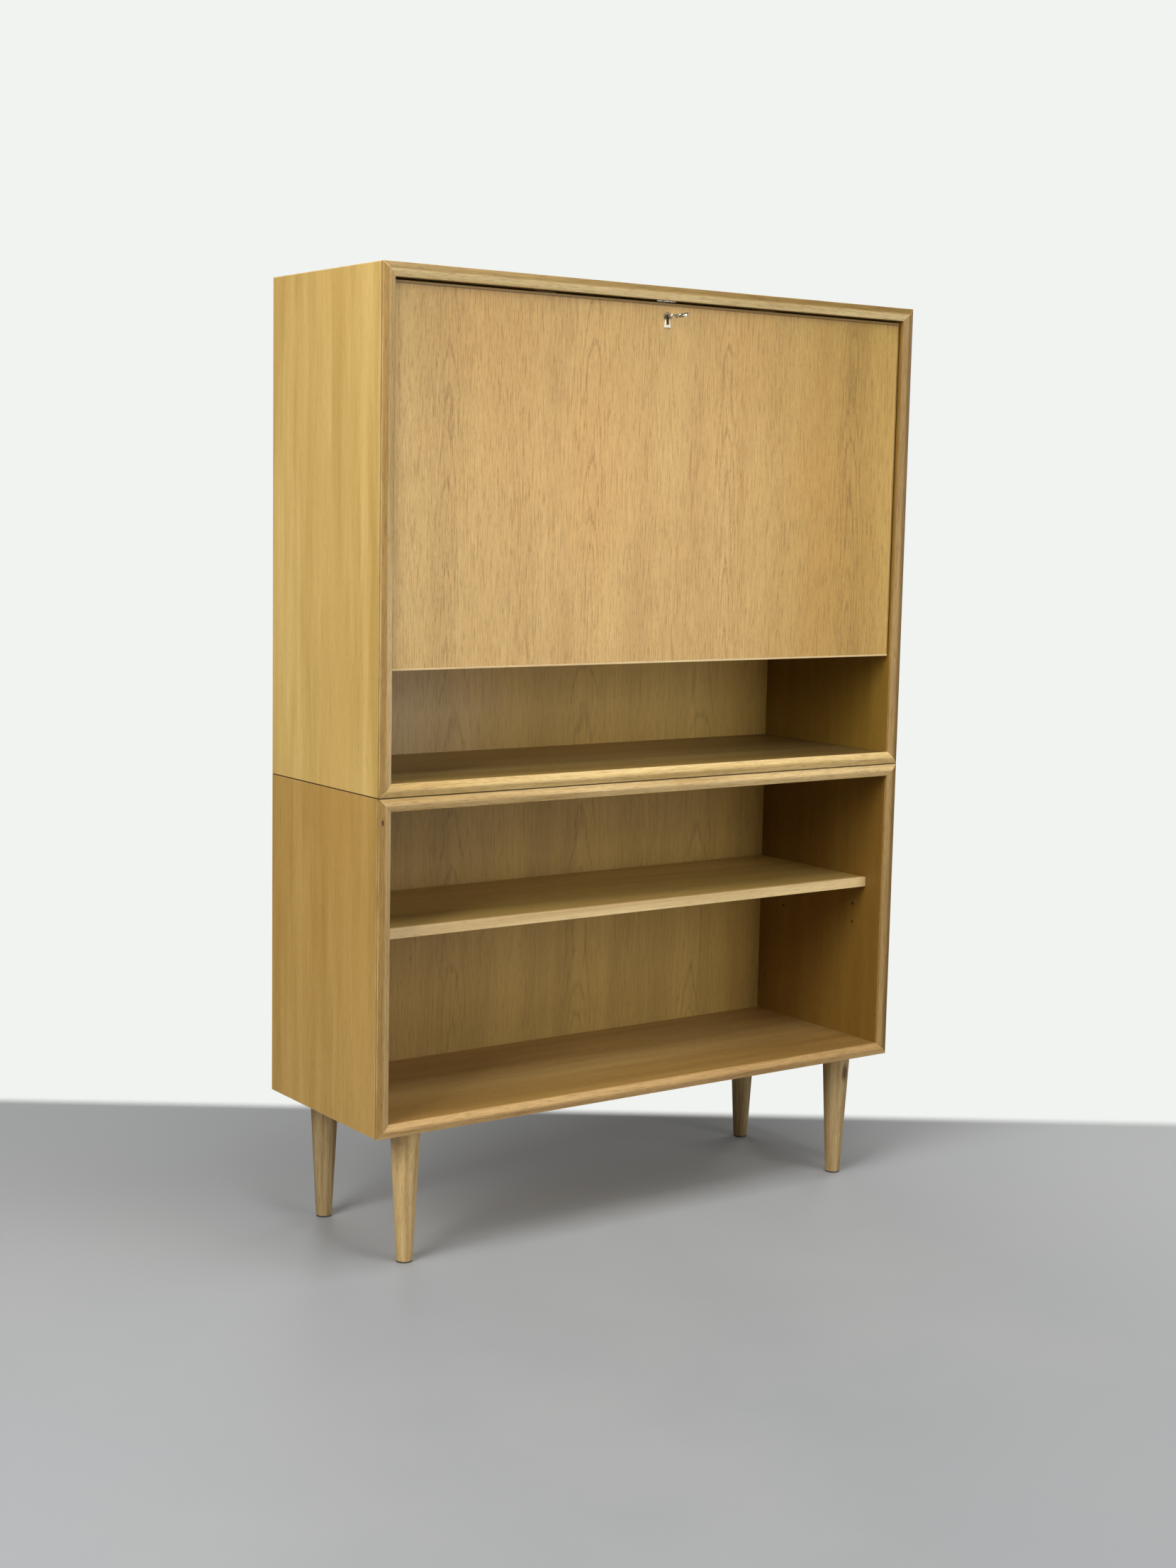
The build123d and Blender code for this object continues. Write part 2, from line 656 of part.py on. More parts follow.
def hinge_side_leaves():
    """Leaves let into the sides, each with its pin riveted in."""
    leaf = hinge_leaf_outline(-INSIDE, -HINGE_LEAF)
    reach = HINGE_LEAF + FLAP_SIDE_GAP + HINGE_LEAF + HINGE_PIN_DEPTH
    pin = bar((-INSIDE - HINGE_LEAF, AXIS_Y, AXIS_Z), TO_RIGHT, reach, HINGE_PIN_DIAMETER)
    leaf = leaf + fillet(pin.edges().group_by(Axis.X)[-1], ARRIS_ROUND)
    places = hinge_screw_places(-INSIDE, TO_LEFT)
    return both_sides(cut(leaf, screw_holes(places, SHORT_SCREW)))


def hinge_flap_leaves():
    """Leaves let into the ends of the flap, bored to turn on the pins."""
    leaf = hinge_leaf_outline(-FLAP_HALF, HINGE_LEAF)
    bore = HINGE_PIN_DIAMETER + 2 * RUNNING_CLEARANCE
    leaf = leaf - bar((-FLAP_HALF, AXIS_Y, AXIS_Z), TO_RIGHT, HINGE_LEAF, bore)
    places = hinge_screw_places(-FLAP_HALF, TO_RIGHT)
    return both_sides(cut(leaf, screw_holes(places, SHORT_SCREW)))


def hinge_pin_recess():
    """Clearance in the flap for the end of the pin."""
    start = -FLAP_HALF + HINGE_LEAF
    depth = HINGE_PIN_DEPTH + HINGE_PIN_ROOM
    return bar((start, AXIS_Y, AXIS_Z), TO_RIGHT, depth, HINGE_PIN_DIAMETER + HINGE_PIN_ROOM)


def hinge_washers():
    """Spacers on the pins, between the leaves."""
    start = -INSIDE + (FLAP_SIDE_GAP - HINGE_WASHER) / 2
    washer = bar((start, AXIS_Y, AXIS_Z), TO_RIGHT, HINGE_WASHER, HINGE_WASHER_DIAMETER)
    return both_sides(washer - bar((start, AXIS_Y, AXIS_Z), TO_RIGHT, HINGE_WASHER, HINGE_PIN_DIAMETER))


# ---------------------------------------------------------------- flap stays
def rod_direction():
    """Unit vector from the eye of a stay to its swivel, with the flap closed."""
    return Vector(0, POST_Y - EYE_Y, POST_Z - EYE_Z).normalized()


def stay_rod():
    """Left rod: an eye on the flap's bracket, a round rod and a stop knob."""
    eye = (-STAY_X, EYE_Y, EYE_Z)
    half = STAY_EYE_THICKNESS / 2
    rod = bar(eye, rod_direction(), ROD_LENGTH, STAY_ROD_DIAMETER)
    disc = bar((-STAY_X - half, EYE_Y, EYE_Z), TO_RIGHT, STAY_EYE_THICKNESS, STAY_EYE_DIAMETER)
    reach = 0.75 * STAY_EYE_DIAMETER
    beside_neck = block(-HALF, -STAY_X - half, EYE_Y - reach, EYE_Y + reach, EYE_Z - reach, EYE_Z + reach)
    beside_neck += block(-STAY_X + half, 0, EYE_Y - reach, EYE_Y + reach, EYE_Z - reach, EYE_Z + reach)
    end = Vector(*eye) + rod_direction() * ROD_LENGTH
    knob = bar(end, rod_direction(), STAY_KNOB_LENGTH, STAY_KNOB_DIAMETER)
    knob = fillet(knob.edges().filter_by(GeomType.CIRCLE), 2 * ARRIS_ROUND)
    bore = STAY_PIN_DIAMETER + 2 * RUNNING_CLEARANCE
    hole = bar((-STAY_X - STAY_EYE_DIAMETER, EYE_Y, EYE_Z), TO_RIGHT, 2 * STAY_EYE_DIAMETER, bore)
    return (rod - beside_neck) + disc + knob - hole


def stay_swivel():
    """Left swivel: a turned barrel on its post, cross-bored for the rod."""
    start = -STAY_X - SWIVEL_LENGTH / 2
    barrel = bar((start, POST_Y, POST_Z), TO_RIGHT, SWIVEL_LENGTH, SWIVEL_DIAMETER)
    barrel = fillet(barrel.edges().filter_by(GeomType.CIRCLE), 2 * ARRIS_ROUND)
    bore = STAY_ROD_DIAMETER + 2 * STAY_SLIDING_CLEARANCE
    through = Vector(-STAY_X, POST_Y, POST_Z) - rod_direction() * SWIVEL_DIAMETER
    barrel = barrel - bar(through, rod_direction(), 2 * SWIVEL_DIAMETER, bore)
    post_bore = STAY_POST_DIAMETER + 2 * RUNNING_CLEARANCE
    depth = STAY_POST_DEPTH + STAY_SLIDING_CLEARANCE
    return barrel - bar((start, POST_Y, POST_Z), TO_RIGHT, depth, post_bore)


def stay_bases():
    """Plates on the sides, each with the post its swivel turns on."""
    half_width = STAY_BASE_WIDTH / 2
    half_height = STAY_BASE_HEIGHT / 2
    plate = block(
        -INSIDE,
        -INSIDE + STAY_BASE,
        POST_Y - half_width,
        POST_Y + half_width,
        POST_Z - half_height,
        POST_Z + half_height,
    )
    plate = fillet(plate.edges().filter_by(Axis.X), 0.9 * half_width)
    gap = STAY_FROM_SIDE - SWIVEL_LENGTH / 2
    post = bar((-INSIDE, POST_Y, POST_Z), TO_RIGHT, gap + STAY_POST_DEPTH, STAY_POST_DIAMETER)
    places = stay_base_screw_places()
    return both_sides(cut(plate + post, screw_holes(places, SHORT_SCREW)))


def stay_base_screw_places():
    offset = STAY_BASE_HEIGHT / 2 - STAY_BASE_WIDTH / 2
    return [
        Plane(origin=(-INSIDE + STAY_BASE, POST_Y, POST_Z + dz), z_dir=TO_LEFT) for dz in (-offset, offset)
    ]


def stay_brackets():
    """Angle brackets on the flap, each with the pin that carries a rod's eye."""
    half = BRACKET_HEIGHT / 2
    plate = block(LUG_X, LUG_X + BRACKET_WIDTH, FLAP_BACK, FLAP_BACK + BRACKET, EYE_Z - half, EYE_Z + half)
    plate = fillet(plate.edges().filter_by(Axis.Y).group_by(Axis.X)[-1], half / 2)
    lug_half = BRACKET_HEIGHT / 3
    lug = block(LUG_X, LUG_X + BRACKET, FLAP_BACK, EYE_Y, EYE_Z - lug_half, EYE_Z + lug_half)
    lug += bar((LUG_X, EYE_Y, EYE_Z), TO_RIGHT, BRACKET, 2 * lug_half)
    pin_start = -STAY_X - STAY_EYE_THICKNESS / 2 - EYE_PLAY
    pin = bar((pin_start, EYE_Y, EYE_Z), TO_RIGHT, LUG_X - pin_start, STAY_PIN_DIAMETER)
    head = bar((pin_start - PIN_HEAD, EYE_Y, EYE_Z), TO_RIGHT, PIN_HEAD, PIN_HEAD_DIAMETER)
    bracket = plate + lug + pin + head
    return both_sides(cut(bracket, screw_holes(bracket_screw_places(), SHORT_SCREW)))


def bracket_screw_places():
    return [Plane(origin=(LUG_X + dx, FLAP_BACK + BRACKET, EYE_Z), z_dir=FORWARD) for dx in BRACKET_SCREWS]


# ---------------------------------------------------------------- lock, key and strike
def keyhole(front, back, grow=0.0):
    """Round hole with a slot below it, for the key's shank and bit."""
    radius = KEY_SHANK_DIAMETER / 2 + KEYHOLE_ROOM + grow
    slot_half = BIT_THICKNESS / 2 + KEYHOLE_SLOT_ROOM + grow
    slot_low = KEY_Z - BIT_RADIUS - KEYHOLE_BELOW_BIT
    hole = bar((0, front, KEY_Z), BACKWARD, back - front, 2 * radius)
    return hole + block(-slot_half, slot_half, front, back, slot_low, KEY_Z)


def escutcheon():
    """Keyhole plate: a round head that flares into a foot."""
    front = FLAP_FRONT - ESCUTCHEON
    waist = ESCUTCHEON_WAIST / 2
    foot = ESCUTCHEON_FOOT / 2
    high = KEY_Z - ESCUTCHEON_WAIST_DROP
    low = KEY_Z - ESCUTCHEON_DROP
    plate = bar((0, front, KEY_Z), BACKWARD, ESCUTCHEON, ESCUTCHEON_HEAD_DIAMETER)
    plate += along_y([(-waist, high), (waist, high), (foot, low), (-foot, low)], front, FLAP_FRONT)
    plate -= keyhole(front, FLAP_FRONT, grow=-ESCUTCHEON_OVERHANG)
    rim = plate.faces().sort_by(Axis.Y)[0].outer_wire().edges()
    return chamfer(rim, ESCUTCHEON_BEVEL)


def lock_recess():
    """The space in the flap that the lock fills."""
    half = CASE_WIDTH / 2
    wide = SELVEDGE_WIDTH / 2
    recess = block(-half, half, CASE_FRONT, FLAP_BACK, CASE_BOTTOM, FLAP_TOP)
    recess += block(-wide, wide, CASE_FRONT, FLAP_BACK, CASE_TOP, FLAP_TOP)
    return recess + block(-wide, wide, FLAP_BACK - CASE_WALL, FLAP_BACK, CASE_BOTTOM, FLAP_TOP)


def lock_case():
    """Lock case with the selvedge over the flap's top edge; the cover closes its back."""
    half = CASE_WIDTH / 2
    wide = SELVEDGE_WIDTH / 2
    back = FLAP_BACK - CASE_WALL
    case = block(-half, half, CASE_FRONT, back, CASE_BOTTOM, CASE_TOP)
    case -= block(
        -half + CASE_WALL,
        half - CASE_WALL,
        CASE_FRONT + CASE_WALL,
        back,
        CASE_BOTTOM + CASE_WALL,
        CASE_TOP,
    )
    case += block(-wide, wide, CASE_FRONT, FLAP_BACK, CASE_TOP, FLAP_TOP)
    case -= keyhole(CASE_FRONT, CASE_FRONT + CASE_WALL)
    return case - bolt_slot(BOLT_SLOT_ROOM, CASE_TOP, FLAP_TOP)


def bolt_slot(room, low, high):
    """Space round the bolt's head, in the selvedge, the strike or the top panel."""
    half = BOLT_WIDTH / 2 + room
    deep = BOLT_THICKNESS / 2 + room
    return block(-half, half, BOLT_MIDDLE - deep, BOLT_MIDDLE + deep, low, high)


def lock_cover():
    """Back plate of the lock, flush with the inside of the flap and screwed to it."""
    wide = SELVEDGE_WIDTH / 2
    cover = block(-wide, wide, FLAP_BACK - CASE_WALL, FLAP_BACK, CASE_BOTTOM, CASE_TOP)
    return cut(cover, screw_holes(lock_screw_places(), SHORT_SCREW))


def lock_screw_places():
    x = (CASE_WIDTH + SELVEDGE_WIDTH) / 4
    levels = (CASE_BOTTOM + LOCK_SCREW_FROM_EDGE, CASE_TOP - LOCK_SCREW_FROM_EDGE)
    return [Plane(origin=(side * x, FLAP_BACK, z), z_dir=FORWARD) for side in (-1, 1) for z in levels]


def lock_bolt():
    """Bolt, drawn back into the case: a head, and a tail with the notch that the key's bit moves."""
    half = BOLT_WIDTH / 2
    deep = BOLT_THICKNESS / 2
    front = BOLT_MIDDLE - BOLT_TAIL / 2
    back = BOLT_MIDDLE + BOLT_TAIL / 2
    bar_low = KEY_Z + KEY_SHANK_DIAMETER / 2 + BOLT_OVER_SHANK
    bar_high = CASE_TOP - BOLT_THROW - BOLT_UNDER_SELVEDGE
    tail_low = CASE_BOTTOM + BOLT_ABOVE_CASE_BOTTOM
    head = block(-half, half, BOLT_MIDDLE - deep, BOLT_MIDDLE + deep, bar_low, FLAP_TOP - BOLT_BELOW_FLAP_TOP)
    tail = block(-BOLT_TAIL_REACH, half, front, back, bar_low, bar_high)
    tail += block(-BOLT_TAIL_REACH, -BOLT_NOTCH_REACH, front, back, tail_low, bar_high)
    notch_low = KEY_Z - BIT_RADIUS * sin(radians(KEY_TILT)) - BOLT_NOTCH_ROOM
    notch_high = notch_low + 2 * BOLT_NOTCH_ROOM
    tail -= block(-BOLT_NOTCH_END, -BOLT_NOTCH_REACH, front, back, notch_low, notch_high)
    return head + tail


def key():
    """Key: shank, collar and pierced oval bow in front of the flap, and a bit inside the lock."""
    tip = BOLT_MIDDLE + BIT_WIDTH / 2
    bow_back = FLAP_FRONT - KEY_OUT + BOW_LENGTH / 2
    shank = bar((0, bow_back - BOW_RING, KEY_Z), BACKWARD, tip - bow_back + BOW_RING, KEY_SHANK_DIAMETER)
    shank = fillet(shank.edges().filter_by(GeomType.CIRCLE).group_by(Axis.Y)[-1], ARRIS_ROUND)
    collar = bar((0, FLAP_FRONT - COLLAR_OUT, KEY_Z), FORWARD, COLLAR_LENGTH, COLLAR_DIAMETER)
    collar = fillet(collar.edges().filter_by(GeomType.CIRCLE), COLLAR_ROUND)
    shoulder = bar((0, bow_back, KEY_Z), FORWARD, SHOULDER_LENGTH, SHOULDER_DIAMETER)
    bit = block(-BIT_RADIUS, 0, tip - BIT_WIDTH, tip, KEY_Z - BIT_THICKNESS / 2, KEY_Z + BIT_THICKNESS / 2)
    tilted = (key_bow() + bit).rotate(Axis((0, 0, KEY_Z), BACKWARD), -KEY_TILT)
    return shank + collar + shoulder + tilted


def key_bow():
    """Oval ring in the plane z = KEY_Z, with a bridge that leaves two openings."""
    centre = (0, FLAP_FRONT - KEY_OUT, KEY_Z - BOW_THICKNESS / 2)
    outside = Ellipse(BOW_WIDTH / 2, BOW_LENGTH / 2)
    inside = Ellipse(BOW_WIDTH / 2 - BOW_RING, BOW_LENGTH / 2 - BOW_RING)
    bridge = Rectangle(BOW_BRIDGE, BOW_LENGTH - BOW_RING)
    ring = extrude(outside - inside + bridge, amount=BOW_THICKNESS)
    return Pos(*centre) * chamfer(ring.edges().filter_by(GeomType.ELLIPSE), BOW_BEVEL)


def bolt_mortise():
    """Mortise in the top panel for the thrown bolt."""
    under = TOP - PANEL
    return bolt_slot(MORTISE_ROOM, under, under + BOLT_THROW + MORTISE_ROOM)


def strike_plate():
    """Plate under the top, round the mortise."""
    half = STRIKE_WIDTH / 2
    deep = STRIKE_DEPTH / 2
    under = TOP - PANEL
    plate = block(-half, half, BOLT_MIDDLE - deep, BOLT_MIDDLE + deep, under - STRIKE, under)
    plate -= bolt_slot(STRIKE_SLOT_ROOM, under - STRIKE, under)
    return cut(plate, screw_holes(strike_screw_places(), SHORT_SCREW))


def strike_screw_places():
    x = STRIKE_WIDTH / 2 - STRIKE_SCREW_FROM_END
    z = TOP - PANEL - STRIKE
    return [Plane(origin=(side * x, BOLT_MIDDLE, z), z_dir=UP) for side in (-1, 1)]


# ---------------------------------------------------------------- screw groups
def flap_screw_places():
    """Every screw in the flap: hinge leaves, stay brackets and lock."""
    left = hinge_screw_places(-FLAP_HALF, TO_RIGHT) + bracket_screw_places()
    return left + [mirrored_place(place) for place in left] + lock_screw_places()


def side_screw_places():
    """Short screws in the upper carcass: hinge leaves, stay bases and strike."""
    left = hinge_screw_places(-INSIDE, TO_LEFT) + stay_base_screw_places()
    return left + [mirrored_place(place) for place in left] + strike_screw_places()


def mirrored_place(place):
    origin = (-place.origin.X, place.origin.Y, place.origin.Z)
    direction = (-place.z_dir.X, place.z_dir.Y, place.z_dir.Z)
    return Plane(origin=origin, z_dir=direction)


# ---------------------------------------------------------------- writing the nodes
def save(name, pieces):
    """Write one piece, or a group of pieces, as the node's STEP file."""
    group = pieces if isinstance(pieces, list) else [pieces]
    solids = [Pos(0, -ORIGIN_Y, 0) * solid for piece in group for solid in piece.solids()]
    export_step(solids[0] if len(solids) == 1 else Compound(children=solids), f"parts/{name}.step")


def save_pair(name, left_piece):
    """Write the left piece and its mirror image as two nodes."""
    for suffix, piece in zip(("left", "right"), both_sides(left_piece)):
        save(f"{name}_{suffix}", piece)


def main():
    os.makedirs("parts", exist_ok=True)
    save_pair("upper_side", upper_side())
    save("upper_top", upper_top())
    save("upper_bottom", upper_bottom())
    save_pair("lower_side", lower_side())
    save("lower_top", lower_top())
    save("lower_bottom", lower_bottom())
    save("upper_back", back_panel(SEAM, TOP))
    save("lower_back", back_panel(LEG_HEIGHT, SEAM))
    for side in ("left", "right", "top", "bottom"):
        save(f"upper_lipping_{side}", upper_lipping(side))
        save(f"lower_lipping_{side}", carcass_lipping(side, LEG_HEIGHT, SEAM))
    save("mitre_splines", mitre_splines(SEAM, TOP) + mitre_splines(LEG_HEIGHT, SEAM))
    save("stacking_dowels", stacking_dowels())
    places = back_screw_places(SEAM, TOP) + back_screw_places(LEG_HEIGHT, SEAM)
    save("back_panel_screws", screws(places, LONG_SCREW))

    save("compartment_floor", compartment_floor())
    save("compartment_floor_lipping", compartment_floor_lipping())
    save("letter_shelf", inner_shelf(LETTER_SHELF_ABOVE_FLOOR))
    save("ledger_shelf", inner_shelf(LEDGER_SHELF_ABOVE_FLOOR))
    save("pigeonhole_dividers", pigeonhole_dividers())
    save("flap_stops", flap_stops())
    save("flap_stop_felts", flap_stop_felts())

    save("adjustable_shelf", adjustable_shelf())
    save("adjustable_shelf_lipping", adjustable_shelf_lipping())
    save("shelf_pegs", shelf_pegs())
    for name, (x, y) in zip(("front_left", "front_right", "back_left", "back_right"), leg_places()):
        save(f"leg_{name}", leg(x, y))
    save("leg_glides", leg_glides())
    save("leg_bolts", leg_bolts())
    save("leg_inserts", leg_inserts())

    save("flap_panel", flap_panel())
    save("flap_lipping_top", flap_lipping_top())
    save("flap_lipping_bottom", flap_lipping_bottom())
    save("flap_lippings_side", flap_lippings_side())
    save("hinge_side_leaves", hinge_side_leaves())
    save("hinge_flap_leaves", hinge_flap_leaves())
    save("hinge_washers", hinge_washers())
    save("carcass_screws", screws(side_screw_places(), SHORT_SCREW) + screws(stop_screw_places(), LONG_SCREW))
    save("flap_screws", screws(flap_screw_places(), SHORT_SCREW))

    save_pair("stay_rod", stay_rod())
    save_pair("stay_swivel", stay_swivel())
    save("stay_bases", stay_bases())
    save("stay_brackets", stay_brackets())

    save("lock_case", lock_case())
    save("lock_cover", lock_cover())
    save("lock_bolt", lock_bolt())
    save("escutcheon", escutcheon())
    save("key", key())
    save("strike_plate", strike_plate())
    print("origin", round(ORIGIN_Y, 2), "bolt throw", round(BOLT_THROW, 3), "stay rod", round(ROD_LENGTH, 2))


main()
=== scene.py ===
import json
import math

import bpy
from mathutils import Matrix, Vector


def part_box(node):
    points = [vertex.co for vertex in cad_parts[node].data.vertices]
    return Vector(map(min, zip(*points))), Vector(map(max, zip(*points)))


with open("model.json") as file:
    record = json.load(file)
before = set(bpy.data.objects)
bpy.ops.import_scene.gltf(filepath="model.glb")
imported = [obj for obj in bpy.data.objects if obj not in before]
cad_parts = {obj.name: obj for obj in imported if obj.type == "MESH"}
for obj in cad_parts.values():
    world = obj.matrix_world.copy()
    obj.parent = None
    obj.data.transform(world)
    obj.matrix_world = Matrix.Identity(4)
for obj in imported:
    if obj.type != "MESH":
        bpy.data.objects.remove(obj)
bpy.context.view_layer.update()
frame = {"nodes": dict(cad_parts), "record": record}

X, Y, Z = 0, 1, 2

# ---------------------------------------------------------------- colours


def tone(red, green, blue):
    """A 0 to 255 sRGB colour as the linear RGBA that shaders take."""
    linear = []
    for value in (red, green, blue):
        share = value / 255
        linear.append(share / 12.92 if share <= 0.04045 else ((share + 0.055) / 1.055) ** 2.4)
    return (*linear, 1.0)


# ---------------------------------------------------------------- shader building

# The Mix node's sockets for colours, among those for its other data types.
MIX_SHARE, MIX_FIRST, MIX_SECOND, MIX_RESULT = 0, 6, 7, 2
# How far the rounded normal leans from the flat one, as a cosine: fresh at the first, worn at the second.
WORN_FROM, WORN_TO = 0.998, 0.93
BEVEL_SAMPLES = 4


class Shader:
    """One material's node tree, with short calls for the nodes that the recipes below use."""

    def __init__(self, name):
        self.material = bpy.data.materials.new(name)
        self.material.use_nodes = True
        self.tree = self.material.node_tree
        self.surface = self.tree.nodes["Principled BSDF"]
        self.place = self.tree.nodes.new("ShaderNodeTexCoord").outputs["Object"]

    def add(self, kind, inputs, **settings):
        """A new node with its settings, and each input either linked or set."""
        node = self.tree.nodes.new(kind)
        for key, value in settings.items():
            setattr(node, key, value)
        for key, value in inputs.items():
            self.feed(node.inputs[key], value)
        return node

    def feed(self, socket, value):
        """Links the socket to another one, or sets its value."""
        if isinstance(value, bpy.types.NodeSocket):
            self.tree.links.new(value, socket)
        else:
            socket.default_value = value

    def math(self, operation, first, second=0.0):
        return self.add("ShaderNodeMath", {0: first, 1: second}, operation=operation).outputs[0]

    def scaled(self, value, factor, base):
        """The value times a factor, plus a base."""
        return self.math("ADD", self.math("MULTIPLY", value, factor), base)

    def swing(self, fraction, width):
        """A fraction from 0 to 1 as a length from half the width below 0 to half above."""
        return self.math("MULTIPLY", self.math("SUBTRACT", fraction, 0.5), width)

    def step(self, value, low, high, start=0.0, end=1.0):
        """start below low, end above high, and smooth in between."""
        inputs = {"Value": value, "From Min": low, "From Max": high, "To Min": start, "To Max": end}
        return self.add("ShaderNodeMapRange", inputs, interpolation_type="SMOOTHSTEP").outputs["Result"]

    def stretch(self, vector, factors):
        return self.add("ShaderNodeVectorMath", {0: vector, 1: factors}, operation="MULTIPLY").outputs[0]

    def measure(self, operation, first, second=(0.0, 0.0, 0.0)):
        """A vector operation whose result is one number."""
        node = self.add("ShaderNodeVectorMath", {0: first, 1: second}, operation=operation)
        return node.outputs["Value"]

    def noise(self, vector, factors, detail, roughness=0.5):
        """Fractal noise whose cells are 1/factors metres along each axis."""
        place = self.stretch(vector, factors)
        inputs = {"Vector": place, "Scale": 1.0, "Detail": detail, "Roughness": roughness}
        return self.add("ShaderNodeTexNoise", inputs).outputs["Fac"]

    def coordinate(self, axis):
        """The place along X, Y or Z, in metres."""
        return self.add("ShaderNodeSeparateXYZ", {0: self.place}).outputs[axis]

    def join(self, across, depth, along):
        return self.add("ShaderNodeCombineXYZ", {0: across, 1: depth, 2: along}).outputs[0]

    def blend(self, share, first, second, mode="MIX"):
        inputs = {MIX_SHARE: share, MIX_FIRST: first, MIX_SECOND: second}
        node = self.add("ShaderNodeMix", inputs, data_type="RGBA", blend_type=mode)
        return node.outputs[MIX_RESULT]

    def worn_edge(self, radius):
        """1 on the arrises of the object and 0 on its flats."""
        rounded = self.add("ShaderNodeBevel", {"Radius": radius}, samples=BEVEL_SAMPLES).outputs[0]
        flat = self.tree.nodes.new("ShaderNodeNewGeometry").outputs["Normal"]
        return self.step(self.measure("DOT_PRODUCT", rounded, flat), WORN_FROM, WORN_TO)

    def finish(self, colour, roughness, height, strength, depth):
        """The material, with its colour, roughness and a bump of so much strength and depth."""
        self.feed(self.surface.inputs["Base Color"], colour)
        self.feed(self.surface.inputs["Roughness"], roughness)
        bump = self.add("ShaderNodeBump", {"Height": height, "Strength": strength, "Distance": depth})
        self.feed(self.surface.inputs["Normal"], bump.outputs[0])
        return self.material


# ---------------------------------------------------------------- oak

GRAIN_ORDER = {X: (Z, Y, X), Z: (X, Y, Z)}
WAVER_CELLS, WAVER_WIDTH = (5.0, 5.0, 2.2), 0.012
CARCASS_EDGE = 0.003

# Flat-sawn figure: how far apart two leaves' noises are, and the noises that bend the arches and the lines.
LEAF_NOISE_STEP = 0.61
WANDER_LAYER, WANDER_CELLS, WANDER_WIDTH = 0.0, (1.0, 1.0, 2.0), 0.03
KNOLL_LAYER, KNOLL_CELLS, KNOLL_RINGS = 3.0, (1.0, 1.0, 6.0), 3.0
SHAKE_CELLS, SHAKE_TURNS = (110.0, 1.0, 14.0), 0.5
RING_LINE = (0.5, 1.0)
# Shares of the figure's reach where it starts and stops fading, and what is left of it beyond.
FADE_FROM, FADE_TO, FADED = 0.4, 1.6, 0.1
# Shares of a leaf from its middle between which the cut turns from flat-sawn to quartered.
QUARTERED_FROM, QUARTERED_TO = 0.25, 0.45

KNOT_DRAWN_OUT = 0.4
KNOT_HEART = 0.3

BAND_RANGE, BAND_DETAIL = (0.32, 0.68), (3.0, 0.6)
WARM_SPREAD, WARM_LENGTH, WARM_RANGE, WARM_SHARE = 0.4, 1.6, (0.42, 0.7), 0.8
LINE_DETAIL, DARK_LINES, BRIGHT_LINES = (3.0, 0.65), (0.3, 0.52), (0.54, 0.7)
PORE_RANGE = (0.52, 0.70)
BROKEN_RANGE, BROKEN_LEAST = (0.40, 0.60), 0.35
SHINE_RANGE = (0.48, 0.62)
PORE, STREAK, RAY = (0.54, 0.47, 0.38, 1.0), (0.62, 0.53, 0.40, 1.0), (1.20, 1.19, 1.16, 1.0)
OAK_ROUGHNESS, LINE_ROUGHNESS, PORE_ROUGHNESS = 0.41, 0.10, 0.18
LINE_HEIGHT, WOOD_BUMP = 0.35, 0.0003

WOOD_ARRIS = 0.0016
WEAR_CELLS, WEAR_RANGE, WEAR_LEAST = (60.0, 60.0, 14.0), (0.35, 0.6), 0.25
# The seam between the carcasses: distances above or below it where wear starts, and dirt and dullness end.
SEAM_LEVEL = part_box("lower_top")[1].z
SEAM_WEAR, SEAM_GRIME, SEAM_DULL = (0.003, 0.006), (0.0013, 0.0006), (0.0026, 0.0016)
GRIME, GRIME_SHARE = tone(52, 34, 14), 0.9


def grain_space(shader, along):
    """Across and along the grain, and the place with the grain's direction last, slightly wavering."""
    across, depth, length = (shader.coordinate(axis) for axis in GRAIN_ORDER[along])
    drift = shader.swing(shader.noise(shader.join(across, depth, length), WAVER_CELLS, 1.0), WAVER_WIDTH)
    waved_across, waved_depth = (shader.math("ADD", part, drift) for part in (across, depth))
    return across, length, shader.join(waved_across, waved_depth, length)


def inside_of(shader, back):
    """1 within the carcass whose back panel is the node, and 0 from midway through the other panels."""
    low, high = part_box(back)
    inside = 1.0
    for axis in (X, Z):
        off = shader.math("SUBTRACT", shader.coordinate(axis), (low[axis] + high[axis]) / 2)
        half = (high[axis] - low[axis]) / 2
        near = shader.step(shader.math("ABSOLUTE", off), half - CARCASS_EDGE, half + CARCASS_EDGE, 1.0, 0.0)
        inside = shader.math("MULTIPLY", inside, near)
    return inside


